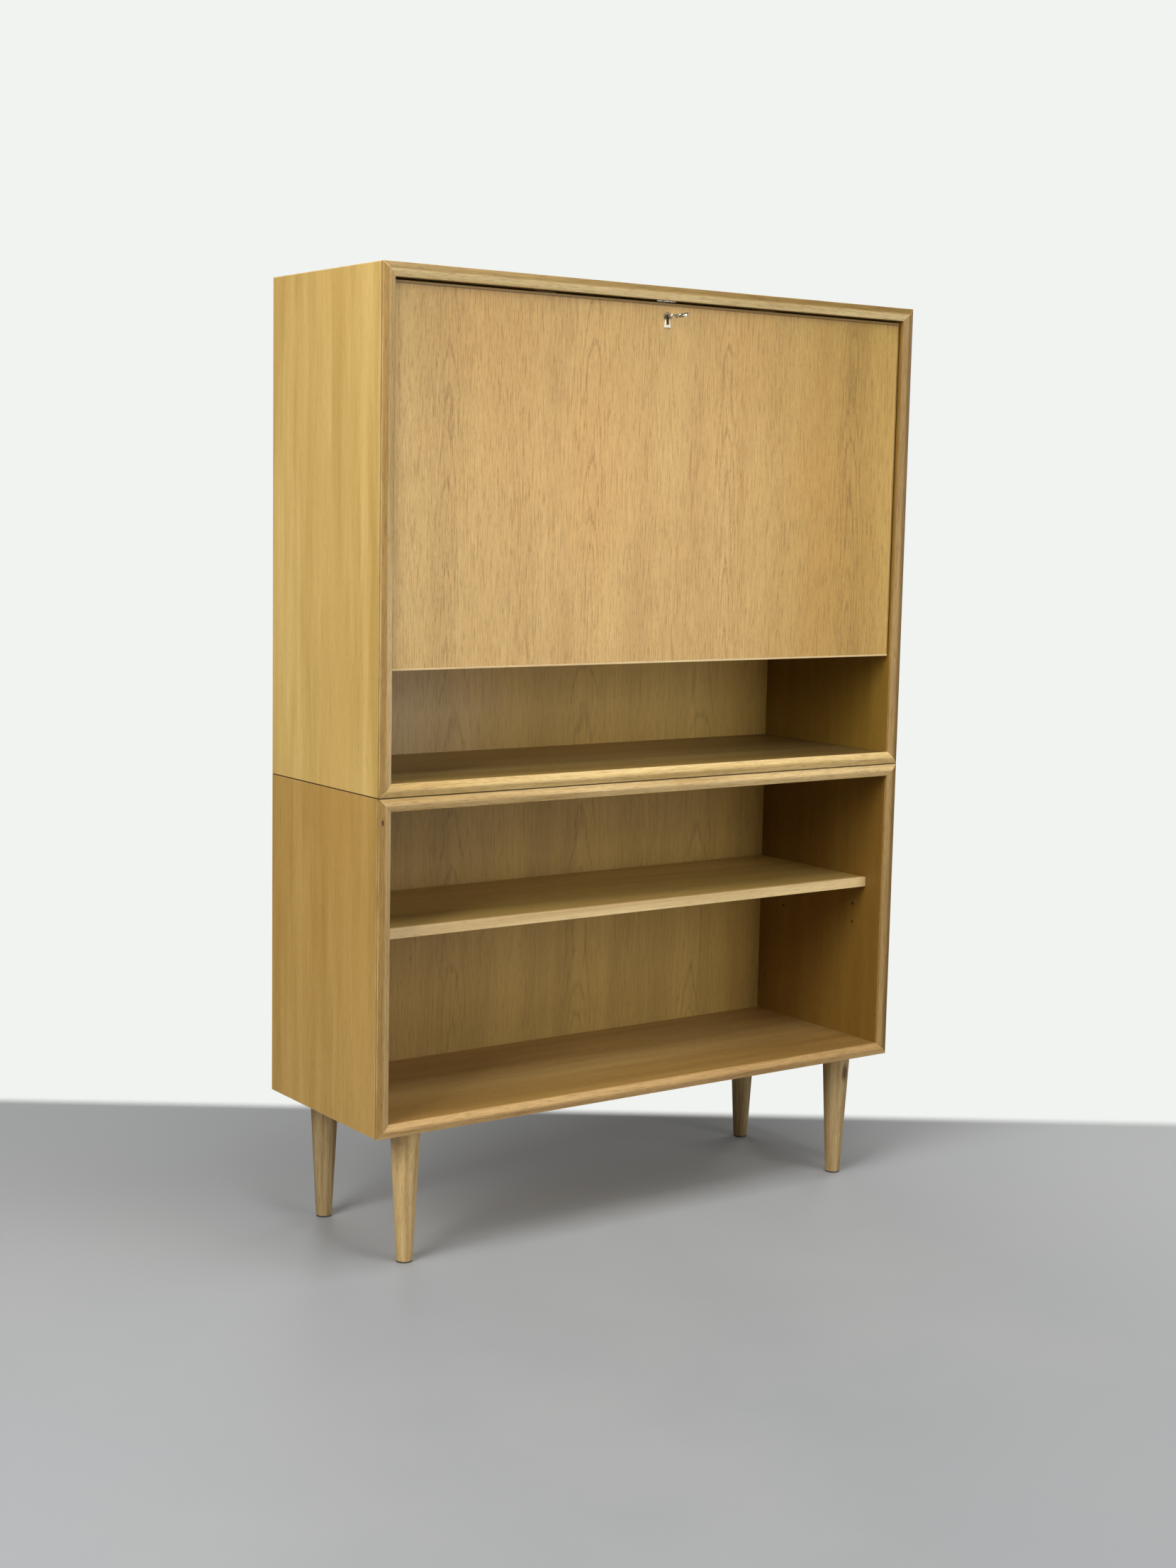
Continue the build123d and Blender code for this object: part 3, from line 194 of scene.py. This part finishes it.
def cathedral(shader, across, length, first, leaf, ring, near, slope, reach):
    """Flat-sawn figure, once in each leaf of veneer, where a cut beside the pith meets the growth rings:
    pointed arches stand one in another down the leaf's middle, and beside them the lines run straight.
    first is the left edge of one leaf, leaf a leaf's width and ring the rings' spacing. near is how far the
    cut is from the pith at length 0, slope how much further it is for each metre along, and reach how far
    out the figure shows. Returns how dark the figure is, and 1 at the leaf's edges, 0 in its middle."""
    turn = shader.math("DIVIDE", shader.math("SUBTRACT", across, first), leaf)
    number = shader.math("FLOOR", turn)
    share = shader.math("SUBTRACT", shader.math("SUBTRACT", turn, number), 0.5)
    sheet = shader.math("MULTIPLY", number, LEAF_NOISE_STEP)
    wander = shader.noise(shader.join(sheet, WANDER_LAYER, length), WANDER_CELLS, 2.0)
    out = shader.scaled(share, leaf, shader.swing(wander, WANDER_WIDTH))
    knolls = shader.noise(shader.join(sheet, KNOLL_LAYER, length), KNOLL_CELLS, 1.0)
    cut = shader.scaled(knolls, KNOLL_RINGS * ring, shader.scaled(length, slope, near))
    squares = shader.math("ADD", shader.math("MULTIPLY", out, out), shader.math("MULTIPLY", cut, cut))
    turns = shader.math("DIVIDE", shader.math("SQRT", squares), ring)
    shake = shader.noise(shader.join(across, sheet, length), SHAKE_CELLS, 2.0)
    phase = shader.scaled(shake, SHAKE_TURNS, turns)
    wave = shader.math("SINE", shader.math("MULTIPLY", phase, math.tau))
    away = shader.math("ABSOLUTE", out)
    within = shader.step(away, FADE_FROM * reach, FADE_TO * reach, 1.0, FADED)
    drawn = shader.math("MULTIPLY", shader.step(wave, *RING_LINE), within)
    return drawn, shader.step(away, QUARTERED_FROM * leaf, QUARTERED_TO * leaf)


def knots(shader, colour, ticks, places):
    """Small dark knots, drawn out upwards: each place is a centre, a radius across and a colour."""
    flat = shader.stretch(shader.place, (1.0, 1.0, KNOT_DRAWN_OUT))
    for centre, size, shade in places:
        middle = (centre[X], centre[Y], centre[Z] * KNOT_DRAWN_OUT)
        ragged = shader.math("ADD", shader.measure("DISTANCE", flat, middle), shader.swing(ticks, size))
        colour = shader.blend(shader.step(ragged, size * KNOT_HEART, size, 1.0, 0.0), colour, shade)
    return colour


def rubbed_arrises(shader, grain, off_seam):
    """1, in patches, on the arrises that are rubbed in use, and 0 beside the seam and inside the bays."""
    rubbed = shader.step(shader.noise(grain, WEAR_CELLS, 2.0), *WEAR_RANGE, WEAR_LEAST, 1.0)
    rubbed = shader.math("MULTIPLY", rubbed, shader.step(off_seam, *SEAM_WEAR))
    for back in ("upper_back", "lower_back"):
        rubbed = shader.math("MULTIPLY", rubbed, shader.math("SUBTRACT", 1.0, inside_of(shader, back)))
    return shader.math("MULTIPLY", shader.worn_edge(WOOD_ARRIS), rubbed)


def oak(name, along, dark, light, *, stripe, streak, pore, warm=None, figure=None, line=None, lining=None,
        drifts=(), worn=None, relief=0.22, spots=()):
    """Oak with its grain along an axis, X or Z. Its looks:
    stripe: the broad bands, as how many per metre across and along, from dark to light
    streak, pore: the thin lines and the short dark ticks, as how many per metre, and their strength
    warm: a second hue in slow patches
    figure, line: what cathedral() takes, and its colour, its strength and that of the shine beside it
    lining: another tone inside a carcass, as the carcass's back panel and its dark and light: other veneer,
    darker on the side panels' inner faces partly as painted shade, and a painted highlight on the lippings'
    inner facets
    drifts: slow changes of tone, most of them painted shade, each as its axis, where it starts and ends, the
    tint at its end, and the back panel of the carcass inside which it shows, or None for everywhere
    worn: the colour of rubbed arrises
    relief: how strongly the lines and pores catch the light
    spots: knots"""
    shader = Shader(name)
    across, length, grain = grain_space(shader, along)
    bands = shader.step(shader.noise(grain, (stripe[0], stripe[0], stripe[1]), *BAND_DETAIL), *BAND_RANGE)
    colour = shader.blend(bands, dark, light)
    if warm:
        spread = stripe[0] * WARM_SPREAD
        patches = shader.noise(grain, (spread, spread, WARM_LENGTH), 2.0)
        colour = shader.blend(shader.step(patches, *WARM_RANGE, 0.0, WARM_SHARE), colour, warm)
    if lining:
        back, lining_dark, lining_light = lining
        colour = shader.blend(inside_of(shader, back), colour, shader.blend(bands, lining_dark, lining_light))
    lines = shader.noise(grain, (streak[0], streak[0], streak[1]), *LINE_DETAIL)
    colour = shader.blend(shader.step(lines, *DARK_LINES, streak[2], 0.0), colour, STREAK, "MULTIPLY")
    colour = shader.blend(shader.step(lines, *BRIGHT_LINES, 0.0, streak[2]), colour, RAY, "MULTIPLY")
    ticks = shader.noise(grain, (pore[0], pore[0], pore[1]), 1.0)
    pores = shader.step(ticks, *PORE_RANGE)
    if figure:
        line_colour, line_share, shine_share = line
        drawn, quartered = cathedral(shader, across, length, *figure)
        drawn = shader.math("MULTIPLY", drawn, shader.step(ticks, *BROKEN_RANGE, BROKEN_LEAST, 1.0))
        colour = shader.blend(shader.math("MULTIPLY", drawn, line_share), colour, line_colour)
        shine = shader.math("MULTIPLY", quartered, shader.step(lines, *SHINE_RANGE, 0.0, shine_share))
        colour = shader.blend(shine, colour, light)
    colour = shader.blend(shader.math("MULTIPLY", pores, pore[2]), colour, PORE, "MULTIPLY")
    colour = knots(shader, colour, ticks, spots)
    for axis, start, end, tint, back in drifts:
        share = shader.step(shader.coordinate(axis), start, end)
        if back:
            share = shader.math("MULTIPLY", share, inside_of(shader, back))
        colour = shader.blend(share, colour, tint, "MULTIPLY")
    off_seam = shader.math("ABSOLUTE", shader.math("SUBTRACT", shader.coordinate(Z), SEAM_LEVEL))
    if worn:
        colour = shader.blend(rubbed_arrises(shader, grain, off_seam), colour, worn)
    colour = shader.blend(shader.step(off_seam, *SEAM_GRIME, 0.0, GRIME_SHARE), colour, GRIME)
    gloss = shader.scaled(pores, PORE_ROUGHNESS, shader.scaled(lines, LINE_ROUGHNESS, OAK_ROUGHNESS))
    gloss = shader.math("MAXIMUM", gloss, shader.step(off_seam, *SEAM_DULL))
    height = shader.math("SUBTRACT", shader.math("MULTIPLY", lines, LINE_HEIGHT), pores)
    return shader.finish(colour, gloss, height, relief, WOOD_BUMP)


# What cathedral() takes: first, leaf, ring, near, slope and reach.
FLAP_FIGURE = (-0.5155, 0.2565, 0.0055, -0.0550, 0.055, 0.022)
BACK_FIGURE = (-0.554, 0.252, 0.007, -0.010, 0.08, 0.030)

WORN = tone(236, 206, 146)
CARCASS = {"stripe": (26.0, 1.6), "streak": (420.0, 10.0, 0.22), "pore": (950.0, 60.0, 0.22), "worn": WORN}
UPPER = {"dark": tone(205, 167, 89), "light": tone(230, 195, 117), "warm": tone(221, 183, 105), **CARCASS}
LOWER = {"dark": tone(183, 142, 69), "light": tone(203, 163, 90), "warm": tone(195, 153, 78), **CARCASS}
BOARD = {"stripe": (16.0, 0.9), "streak": (440.0, 14.0, 0.34), "pore": (950.0, 55.0, 0.28)}
LIPPING = {"stripe": (60.0, 1.6), "streak": (420.0, 22.0, 0.45), "pore": (800.0, 60.0, 0.45),
           "worn": WORN, "relief": 0.35}
# The two facets of the rounded lippings in a lit and a shaded tone: the outer facet painted shade, the inner
# facet a painted highlight.
OUTER_FACET_SHADED = (tone(158, 123, 64), tone(182, 146, 84))
INNER_FACET_LIT = (tone(196, 163, 106), tone(228, 198, 142))
SHELF_LIPPING = {"stripe": (40.0, 1.2), "streak": (420.0, 12.0, 0.25), "pore": (800.0, 60.0, 0.25),
                 "worn": WORN}
LEG = {"stripe": (120.0, 2.2), "streak": (820.0, 8.0, 0.45), "pore": (1100.0, 50.0, 0.35),
       "worn": WORN, "relief": 0.35}
DOWEL = {"stripe": (60.0, 2.0), "streak": (500.0, 20.0, 0.3), "pore": (1200.0, 300.0, 0.3)}

# Tints for the flap: golden veneer with painted shade at its right end, darker at its left end, painted shade
# towards its top.
GOLDEN_AND_SHADED, FLAP_TOP_SHADE, FLAP_LEFT_DARKER = (0.84, 0.82, 0.62, 1.0), (0.86, 0.86, 0.82, 1.0), (0.92, 0.93, 0.90, 1.0)
# Tints for the backs: the upper back turning from its painted sheen back to amber towards the middle, and
# painted shade on the lower back's left.
AMBER_PAST_SHEEN, SHADED = (0.89, 0.80, 0.40, 1.0), (0.84, 0.79, 0.76, 1.0)
# Painted shade: tints that darken the fronts and right-hand ends of the bays and the bay floors, and the
# front of the interior boards.
FRONT_BAY_SHADE, RIGHT_BAY_SHADE = (0.48, 0.42, 0.27, 1.0), (0.64, 0.60, 0.50, 1.0)
FRONT_FLOOR_SHADE, RIGHT_FLOOR_SHADE = (0.66, 0.58, 0.43, 1.0), (0.82, 0.79, 0.74, 1.0)
FRONT_SHELF_SHADE = (0.85, 0.80, 0.78, 1.0)
# Darker along the flap's top edge.
FLAP_TOP_EDGE_DARK = (0.44, 0.38, 0.30, 1.0)

# Painted shade inside the bays and on their floors, darker towards the front and towards the right.
BAY_SHADE_DRIFTS = ((Y, 0.0, -0.11, FRONT_BAY_SHADE, "upper_back"), (X, 0.05, 0.42, RIGHT_BAY_SHADE, "upper_back"))
FLOOR_SHADE_DRIFTS = ((Y, 0.03, -0.09, FRONT_FLOOR_SHADE, "lower_back"), (X, 0.05, 0.40, RIGHT_FLOOR_SHADE, "lower_back"))
# The flap's right end is golden in its veneer and also painted darker as shade; its left end is made darker;
# towards its top it is painted shade; and it is darker along its top edge.
FLAP_DRIFTS = ((X, 0.10, 0.40, GOLDEN_AND_SHADED, None), (X, -0.12, -0.44, FLAP_LEFT_DARKER, None),
               (Z, 1.15, 1.42, FLAP_TOP_SHADE, None), (Z, 1.4282, 1.4295, FLAP_TOP_EDGE_DARK, None))

LIPPING_KNOT = ((-0.4947, -0.1465, 0.6723), 0.0026, tone(84, 52, 28))
LEG_KNOT = ((0.428, -0.1225, 0.178), 0.009, tone(92, 68, 42))

MATERIALS = {
    # The side panels' inner faces are darker: a darker inside veneer, and also painted shade inside the bays.
    "upper_side": oak("oak_upper_side", Z, **UPPER,
                      lining=("upper_back", tone(137, 104, 32), tone(147, 114, 42))),
    "lower_side": oak("oak_lower_side", Z, **LOWER,
                      lining=("lower_back", tone(128, 92, 29), tone(136, 102, 37))),
    "upper_level": oak("oak_upper_level", X, **UPPER, drifts=BAY_SHADE_DRIFTS,
                       lining=("upper_back", tone(176, 149, 92), tone(192, 167, 108))),
    "upper_top": oak("oak_upper_top", X, **UPPER,
                     lining=("upper_back", tone(196, 160, 96), tone(214, 180, 116))),
    "lower_level": oak("oak_lower_level", X, **LOWER, drifts=FLOOR_SHADE_DRIFTS,
                       lining=("lower_back", tone(181, 147, 88), tone(197, 164, 102))),
    "flap": oak("oak_flap", Z, tone(213, 171, 107), tone(228, 188, 121), warm=tone(222, 175, 108),
                stripe=(14.0, 1.2), streak=(560.0, 26.0, 0.68), pore=(980.0, 100.0, 0.28), relief=0.3,
                figure=FLAP_FIGURE, line=(tone(144, 108, 58), 0.4, 0.5), drifts=FLAP_DRIFTS),
    # Painted shade along the front of the interior boards.
    "inside": oak("oak_inside", X, tone(190, 160, 88), tone(212, 182, 103), **BOARD,
                  drifts=((Y, -0.02, -0.09, FRONT_SHELF_SHADE, None),)),
    "inside_upright": oak("oak_inside_upright", Z, tone(160, 125, 66), tone(190, 154, 88), **BOARD),
    # The upper back's pale, greyish base is partly a painted sheen of the light on its left; towards the
    # middle a tint takes it back to amber oak.
    "upper_back": oak("oak_upper_back", Z, tone(224, 196, 144), tone(237, 208, 156), **BOARD,
                      figure=BACK_FIGURE, line=(tone(138, 104, 58), 0.3, 0.4),
                      drifts=((X, -0.35, 0.0, AMBER_PAST_SHEEN, None),)),
    "lower_back": oak("oak_lower_back", Z, tone(183, 150, 76), tone(201, 166, 87), **BOARD,
                      figure=BACK_FIGURE, line=(tone(112, 82, 40), 0.3, 0.4),
                      drifts=((X, -0.05, -0.40, SHADED, None),)),
    "lipping": oak("oak_lipping", Z, tone(138, 106, 54), tone(172, 137, 78), **LIPPING),
    # Painted shade on the outer facet of the left lippings, and a painted highlight on their inner facet.
    "upper_lipping_left": oak("oak_upper_lipping_left", Z, *OUTER_FACET_SHADED, **LIPPING,
                              lining=("upper_back", *INNER_FACET_LIT)),
    "lower_lipping_left": oak("oak_lower_lipping_left", Z, *OUTER_FACET_SHADED, **LIPPING,
                              lining=("lower_back", *INNER_FACET_LIT), spots=(LIPPING_KNOT,)),
    "lipping_level": oak("oak_lipping_level", X, tone(190, 154, 92), tone(236, 204, 143), **LIPPING),
    "upper_lipping_bottom": oak("oak_upper_lipping_bottom", X, tone(208, 172, 104), tone(244, 212, 146),
                                **LIPPING),
    "lower_lipping_bottom": oak("oak_lower_lipping_bottom", X, tone(172, 132, 74), tone(212, 172, 110),
                                **LIPPING),
    # The top lipping's outer facet is painted shade, and its inner facet a painted highlight.
    "upper_lipping_top": oak("oak_upper_lipping_top", X, tone(138, 110, 56), tone(168, 138, 80), **LIPPING,
                             lining=("upper_back", tone(218, 187, 126), tone(248, 222, 164))),
    # The flap's top lipping is painted dark as the shadow of the top above it, and its bottom lipping painted
    # light as a highlight along the lower edge.
    "flap_lipping_top": oak("oak_flap_lipping_top", X, tone(146, 116, 58), tone(164, 132, 72), **BOARD),
    "flap_lipping_bottom": oak("oak_flap_lipping_bottom", X, tone(234, 202, 146), tone(246, 220, 168),
                               **BOARD),
    "shelf_lipping": oak("oak_shelf_lipping", X, tone(219, 184, 126), tone(241, 211, 152),
                         **SHELF_LIPPING),
    # The legs differ in tone piece by piece; the back legs, the back right most, are also painted darker as
    # the shade under the desk.
    "leg_front_left": oak("oak_leg_front_left", Z, tone(184, 150, 96), tone(214, 182, 124), **LEG),
    "leg_front_right": oak("oak_leg_front_right", Z, tone(160, 130, 82), tone(190, 163, 112), **LEG,
                           spots=(LEG_KNOT,)),
    "leg_back_left": oak("oak_leg_back_left", Z, tone(140, 112, 69), tone(178, 153, 106), **LEG),
    "leg_back_right": oak("oak_leg_back_right", Z, tone(135, 109, 65), tone(173, 150, 101), **LEG),
}

# ---------------------------------------------------------------- plywood, metals, felt and nylon

LAYER_RADIANS_PER_METRE, FIBRE_CELLS = 2600.0, (300.0, 40.0, 300.0)
METAL_ARRIS, METAL_WEAR = 0.0004, 0.6
BRUSHING_CELLS = (900.0, 900.0, 60.0)
TARNISH_RANGE, HEAD_SHADE_SHARE = (0.35, 0.7), 0.85
SCRATCH_ROUGHNESS, CLOUD_ROUGHNESS = 0.16, 0.10
FUZZ_CELLS, CLUMP_CELLS, FELT_SHEEN = (1500.0, 1500.0, 1500.0), (240.0, 240.0, 240.0), 0.4
NYLON_GRIME_CELLS, NYLON_GRAIN_CELLS = (160.0, 160.0, 160.0), (1800.0, 1800.0, 1800.0)
PLYWOOD_BUMP, METAL_BUMP, FELT_BUMP, NYLON_BUMP = 0.0003, 0.0001, 0.0005, 0.0002


def plywood():
    """Birch plywood edges: thin sloping layers, light and dark in turn."""
    shader = Shader("plywood_edge")
    slope = shader.math("ADD", shader.coordinate(X), shader.coordinate(Z))
    layers = shader.math("SINE", shader.math("MULTIPLY", slope, LAYER_RADIANS_PER_METRE))
    fibre = shader.noise(shader.place, FIBRE_CELLS, 3.0)
    colour = shader.blend(shader.step(layers, -0.4, 0.4), tone(196, 160, 112), tone(224, 194, 148))
    colour = shader.blend(shader.math("MULTIPLY", fibre, 0.4), colour, tone(170, 132, 86))
    return shader.finish(colour, shader.scaled(fibre, 0.2, 0.6), fibre, 0.3, PLYWOOD_BUMP)


def metal(name, colour, dull, rough, tarnish, cloudy=90.0, edge=tone(244, 240, 230), head=None):
    """Plated or bare metal: fine brushing, cloudy tarnish (in clouds per metre) and rubbed or grimy edges.
    rough is the least roughness, tarnish how strongly the clouds show, and head the heights between which
    the metal is painted darker upwards, as painted shade."""
    shader = Shader(name)
    cloud = shader.noise(shader.place, (cloudy, cloudy, cloudy), 3.0, 0.6)
    scratch = shader.noise(shader.place, BRUSHING_CELLS, 2.0, 0.6)
    body = shader.blend(shader.step(cloud, *TARNISH_RANGE, 0.0, tarnish), colour, dull)
    # Painted shade: the head darkens upwards.
    if head:
        body = shader.blend(shader.step(shader.coordinate(Z), *head, 0.0, HEAD_SHADE_SHARE), body, dull)
    body = shader.blend(shader.math("MULTIPLY", shader.worn_edge(METAL_ARRIS), METAL_WEAR), body, edge)
    shader.surface.inputs["Metallic"].default_value = 1.0
    gloss = shader.scaled(cloud, CLOUD_ROUGHNESS, shader.scaled(scratch, SCRATCH_ROUGHNESS, rough))
    return shader.finish(body, gloss, scratch, 0.12, METAL_BUMP)


def felt():
    """Felt in clumps, with pale fuzz over them."""
    shader = Shader("felt_pad")
    fuzz = shader.noise(shader.place, FUZZ_CELLS, 4.0, 0.7)
    clump = shader.noise(shader.place, CLUMP_CELLS, 3.0)
    colour = shader.blend(shader.step(clump, 0.35, 0.65), tone(54, 62, 50), tone(84, 92, 76))
    colour = shader.blend(shader.step(fuzz, 0.5, 0.7, 0.0, 0.5), colour, tone(112, 118, 100))
    shader.surface.inputs["Sheen Weight"].default_value = FELT_SHEEN
    return shader.finish(colour, shader.step(fuzz, 0.3, 0.7, 0.9, 1.0), fuzz, 0.6, FELT_BUMP)


def nylon():
    """Nylon, yellowed with grime in patches."""
    shader = Shader("nylon_washer")
    grime = shader.noise(shader.place, NYLON_GRIME_CELLS, 3.0)
    grain = shader.noise(shader.place, NYLON_GRAIN_CELLS, 2.0)
    colour = shader.blend(shader.step(grime, 0.4, 0.7, 0.0, 0.5), tone(226, 222, 210), tone(190, 180, 156))
    return shader.finish(colour, shader.step(grain, 0.3, 0.7, 0.42, 0.58), grain, 0.15, NYLON_BUMP)


MATERIALS.update({
    "plywood": plywood(),
    "beech": oak("beech_dowel", Z, tone(206, 164, 116), tone(226, 188, 142), **DOWEL),
    "nickel": metal("worn_nickel", tone(214, 208, 194), tone(150, 138, 112), 0.18, 0.5),
    "key": metal("key_nickel", tone(246, 242, 230), tone(96, 82, 62), 0.12, 0.8, cloudy=260.0),
    # The escutcheon's head is painted darker, as shade.
    "escutcheon": metal("escutcheon_nickel", tone(250, 244, 228), tone(112, 98, 74), 0.22, 0.25,
                        edge=tone(70, 56, 40), head=(1.4065, 1.4105)),
    "strike_plate": metal("strike_nickel", tone(240, 236, 224), tone(84, 72, 54), 0.16, 0.8,
                          cloudy=160.0),
    "steel": metal("zinc_steel", tone(196, 192, 184), tone(132, 128, 122), 0.28, 0.5),
    "brass": metal("satin_brass", tone(216, 176, 104), tone(150, 112, 58), 0.24, 0.5),
    "glide": metal("worn_glide_steel", tone(120, 116, 110), tone(70, 66, 62), 0.37, 0.7),
    "felt": felt(),
    "nylon": nylon(),
})

# ---------------------------------------------------------------- which node wears what

SLOT_LOOK = {"plywood": "plywood", "beech": "beech", "nickel": "nickel", "screw_steel": "steel",
             "brass": "brass", "glide_steel": "glide", "felt": "felt", "nylon": "nylon",
             "oak_flap_veneer": "flap", "oak_shelf_lipping": "shelf_lipping"}
# Nodes of upright pieces that stand apart, so that the node's box is wider than it is high.
UPRIGHT_SETS = ("pigeonhole_dividers", "flap_lippings_side")
UPRIGHT_LOOK = {"oak_side_veneer": "_side", "oak_lipping": "lipping", "oak_interior_veneer": "inside_upright"}
LEVEL_LOOK = {"oak_side_veneer": "_level", "oak_lipping": "lipping_level", "oak_interior_veneer": "inside"}


def look_of(node, slot):
    """A node's look: its own, its slot's, or its slot's for the way its grain runs. A look that starts
    with an underscore is one for each carcass, upper and lower."""
    if node in MATERIALS:
        return node
    if slot in SLOT_LOOK:
        return SLOT_LOOK[slot]
    low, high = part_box(node)
    upright = high.z - low.z > high.x - low.x or node in UPRIGHT_SETS
    look = (UPRIGHT_LOOK if upright else LEVEL_LOOK)[slot]
    return node.split("_")[0] + look if look.startswith("_") else look


def dress(node, slot):
    """Puts the node's look into its material slots."""
    for place in frame["nodes"][node].material_slots:
        place.material = MATERIALS[look_of(node, slot)]


for part in frame["record"]["subparts"]:
    dress(part["node"], part["material_slot"])

# ---------------------------------------------------------------- camera

LENS_MM = 50.268
SENSOR_MM = 36.0
CAMERA_PLACE = Vector((-2.04627, -2.82851, 1.12665))
YAW, PITCH, ROLL = 0.618521, -0.126389, 0.0202697


def aim():
    """The camera's turn: yaw from +Y towards +X, pitch above the horizon, roll about the view."""
    forward = Vector((math.sin(YAW) * math.cos(PITCH), math.cos(YAW) * math.cos(PITCH), math.sin(PITCH)))
    level = Vector((math.cos(YAW), -math.sin(YAW), 0.0))
    above = level.cross(forward)
    right = level * math.cos(ROLL) + above * math.sin(ROLL)
    up = above * math.cos(ROLL) - level * math.sin(ROLL)
    return Matrix((right, up, -forward)).transposed().to_4x4()


lens = bpy.data.cameras.new("camera")
lens.lens = LENS_MM
lens.sensor_width = SENSOR_MM
camera = bpy.data.objects.new("camera", lens)
camera.matrix_world = Matrix.Translation(CAMERA_PLACE) @ aim()
bpy.context.scene.collection.objects.link(camera)
bpy.context.scene.camera = camera

# ---------------------------------------------------------------- floor, lights and surroundings

BACKDROP = tone(241, 243, 240)
WHITE = (1.0, 1.0, 1.0, 1.0)
AMBIENT = 0.05
FLOOR_HALF = 9.0
FLOOR_GREY, FLOOR_CLOUD, FLOOR_LIT = tone(165, 168, 170), tone(172, 174, 174), tone(190, 192, 192)
CLOUD_CELLS, CLOUD_RANGE = (1.2, 1.2, 1.2), (0.3, 0.7)
LIT_START, LIT_END = 0.2, 1.4
FADE_START, FADE_END = 0.47, 0.53
EDGE_START, EDGE_END = 1.9, 2.8
# Name, place, target, width and height, and power in watts.
LIGHTS = (
    ("left_window", (-3.1, -1.05, 2.1), (-0.3, 0.0, 0.9), (1.6, 1.8), 85.0),
    ("front_soft", (1.0, -3.2, 1.2), (0.0, 0.0, 0.85), (1.8, 2.2), 38.0),
    ("overhead", (-0.1, -1.0, 3.5), (0.0, -0.1, 0.8), (2.0, 1.6), 60.0),
    ("behind_soft", (0.3, 3.2, 1.6), (0.0, 0.1, 0.8), (2.6, 2.2), 24.0),
    ("right_soft", (3.2, 0.9, 1.8), (0.4, 0.0, 0.8), (2.2, 2.0), 22.0),
)


def make_floor():
    """A pale floor with painted light making it lighter to the right, that fades into the white surroundings
    some way behind the desk and far out to every side."""
    corners = [(x * FLOOR_HALF, y * FLOOR_HALF, 0.0) for x, y in ((-1, -1), (1, -1), (1, 1), (-1, 1))]
    mesh = bpy.data.meshes.new("floor")
    mesh.from_pydata(corners, [], [(0, 1, 2, 3)])
    floor = bpy.data.objects.new("floor", mesh)
    bpy.context.scene.collection.objects.link(floor)
    shader = Shader("pale_floor")
    rightward, backward = shader.coordinate(X), shader.coordinate(Y)
    behind = shader.scaled(rightward, math.sin(YAW), shader.math("MULTIPLY", backward, math.cos(YAW)))
    cloud = shader.noise(shader.place, CLOUD_CELLS, 4.0, 0.6)
    colour = shader.blend(shader.step(cloud, *CLOUD_RANGE), FLOOR_GREY, FLOOR_CLOUD)
    # Painted light: the floor grows lighter to the right.
    colour = shader.blend(shader.step(rightward, LIT_START, LIT_END), colour, FLOOR_LIT)
    shader.finish(colour, shader.step(cloud, *CLOUD_RANGE, 0.5, 0.6), cloud, 0.05, 0.001)
    nothing = shader.add("ShaderNodeBsdfTransparent", {}).outputs[0]
    away = shader.measure("LENGTH", shader.place)
    far = shader.step(away, EDGE_START, EDGE_END)
    fade = shader.math("MAXIMUM", shader.step(behind, FADE_START, FADE_END), far)
    mix = shader.add("ShaderNodeMixShader", {0: fade, 1: shader.surface.outputs[0], 2: nothing})
    shader.feed(shader.tree.nodes["Material Output"].inputs["Surface"], mix.outputs[0])
    mesh.materials.append(shader.material)


def make_light(name, place, target, size, power):
    """A soft rectangular light that the camera doesn't see."""
    lamp = bpy.data.lights.new(name, "AREA")
    lamp.shape = "RECTANGLE"
    lamp.size, lamp.size_y = size
    lamp.energy = power
    holder = bpy.data.objects.new(name, lamp)
    holder.location = place
    holder.rotation_mode = "QUATERNION"
    holder.rotation_quaternion = (Vector(target) - Vector(place)).to_track_quat("-Z", "Y")
    holder.visible_camera = False
    bpy.context.scene.collection.objects.link(holder)


def make_surroundings():
    """The backdrop's white to the camera, and a weak even light on the desk."""
    world = bpy.data.worlds.new("studio")
    world.use_nodes = True
    bpy.context.scene.world = world
    nodes, links = world.node_tree.nodes, world.node_tree.links
    seen = nodes["Background"]
    seen.inputs["Color"].default_value = BACKDROP
    ambient = nodes.new("ShaderNodeBackground")
    ambient.inputs["Color"].default_value = WHITE
    ambient.inputs["Strength"].default_value = AMBIENT
    path = nodes.new("ShaderNodeLightPath")
    mix = nodes.new("ShaderNodeMixShader")
    links.new(path.outputs["Is Camera Ray"], mix.inputs[0])
    links.new(ambient.outputs[0], mix.inputs[1])
    links.new(seen.outputs[0], mix.inputs[2])
    links.new(mix.outputs[0], nodes["World Output"].inputs["Surface"])


make_floor()
for light in LIGHTS:
    make_light(*light)
make_surroundings()
bpy.context.scene.view_settings.view_transform = "Standard"
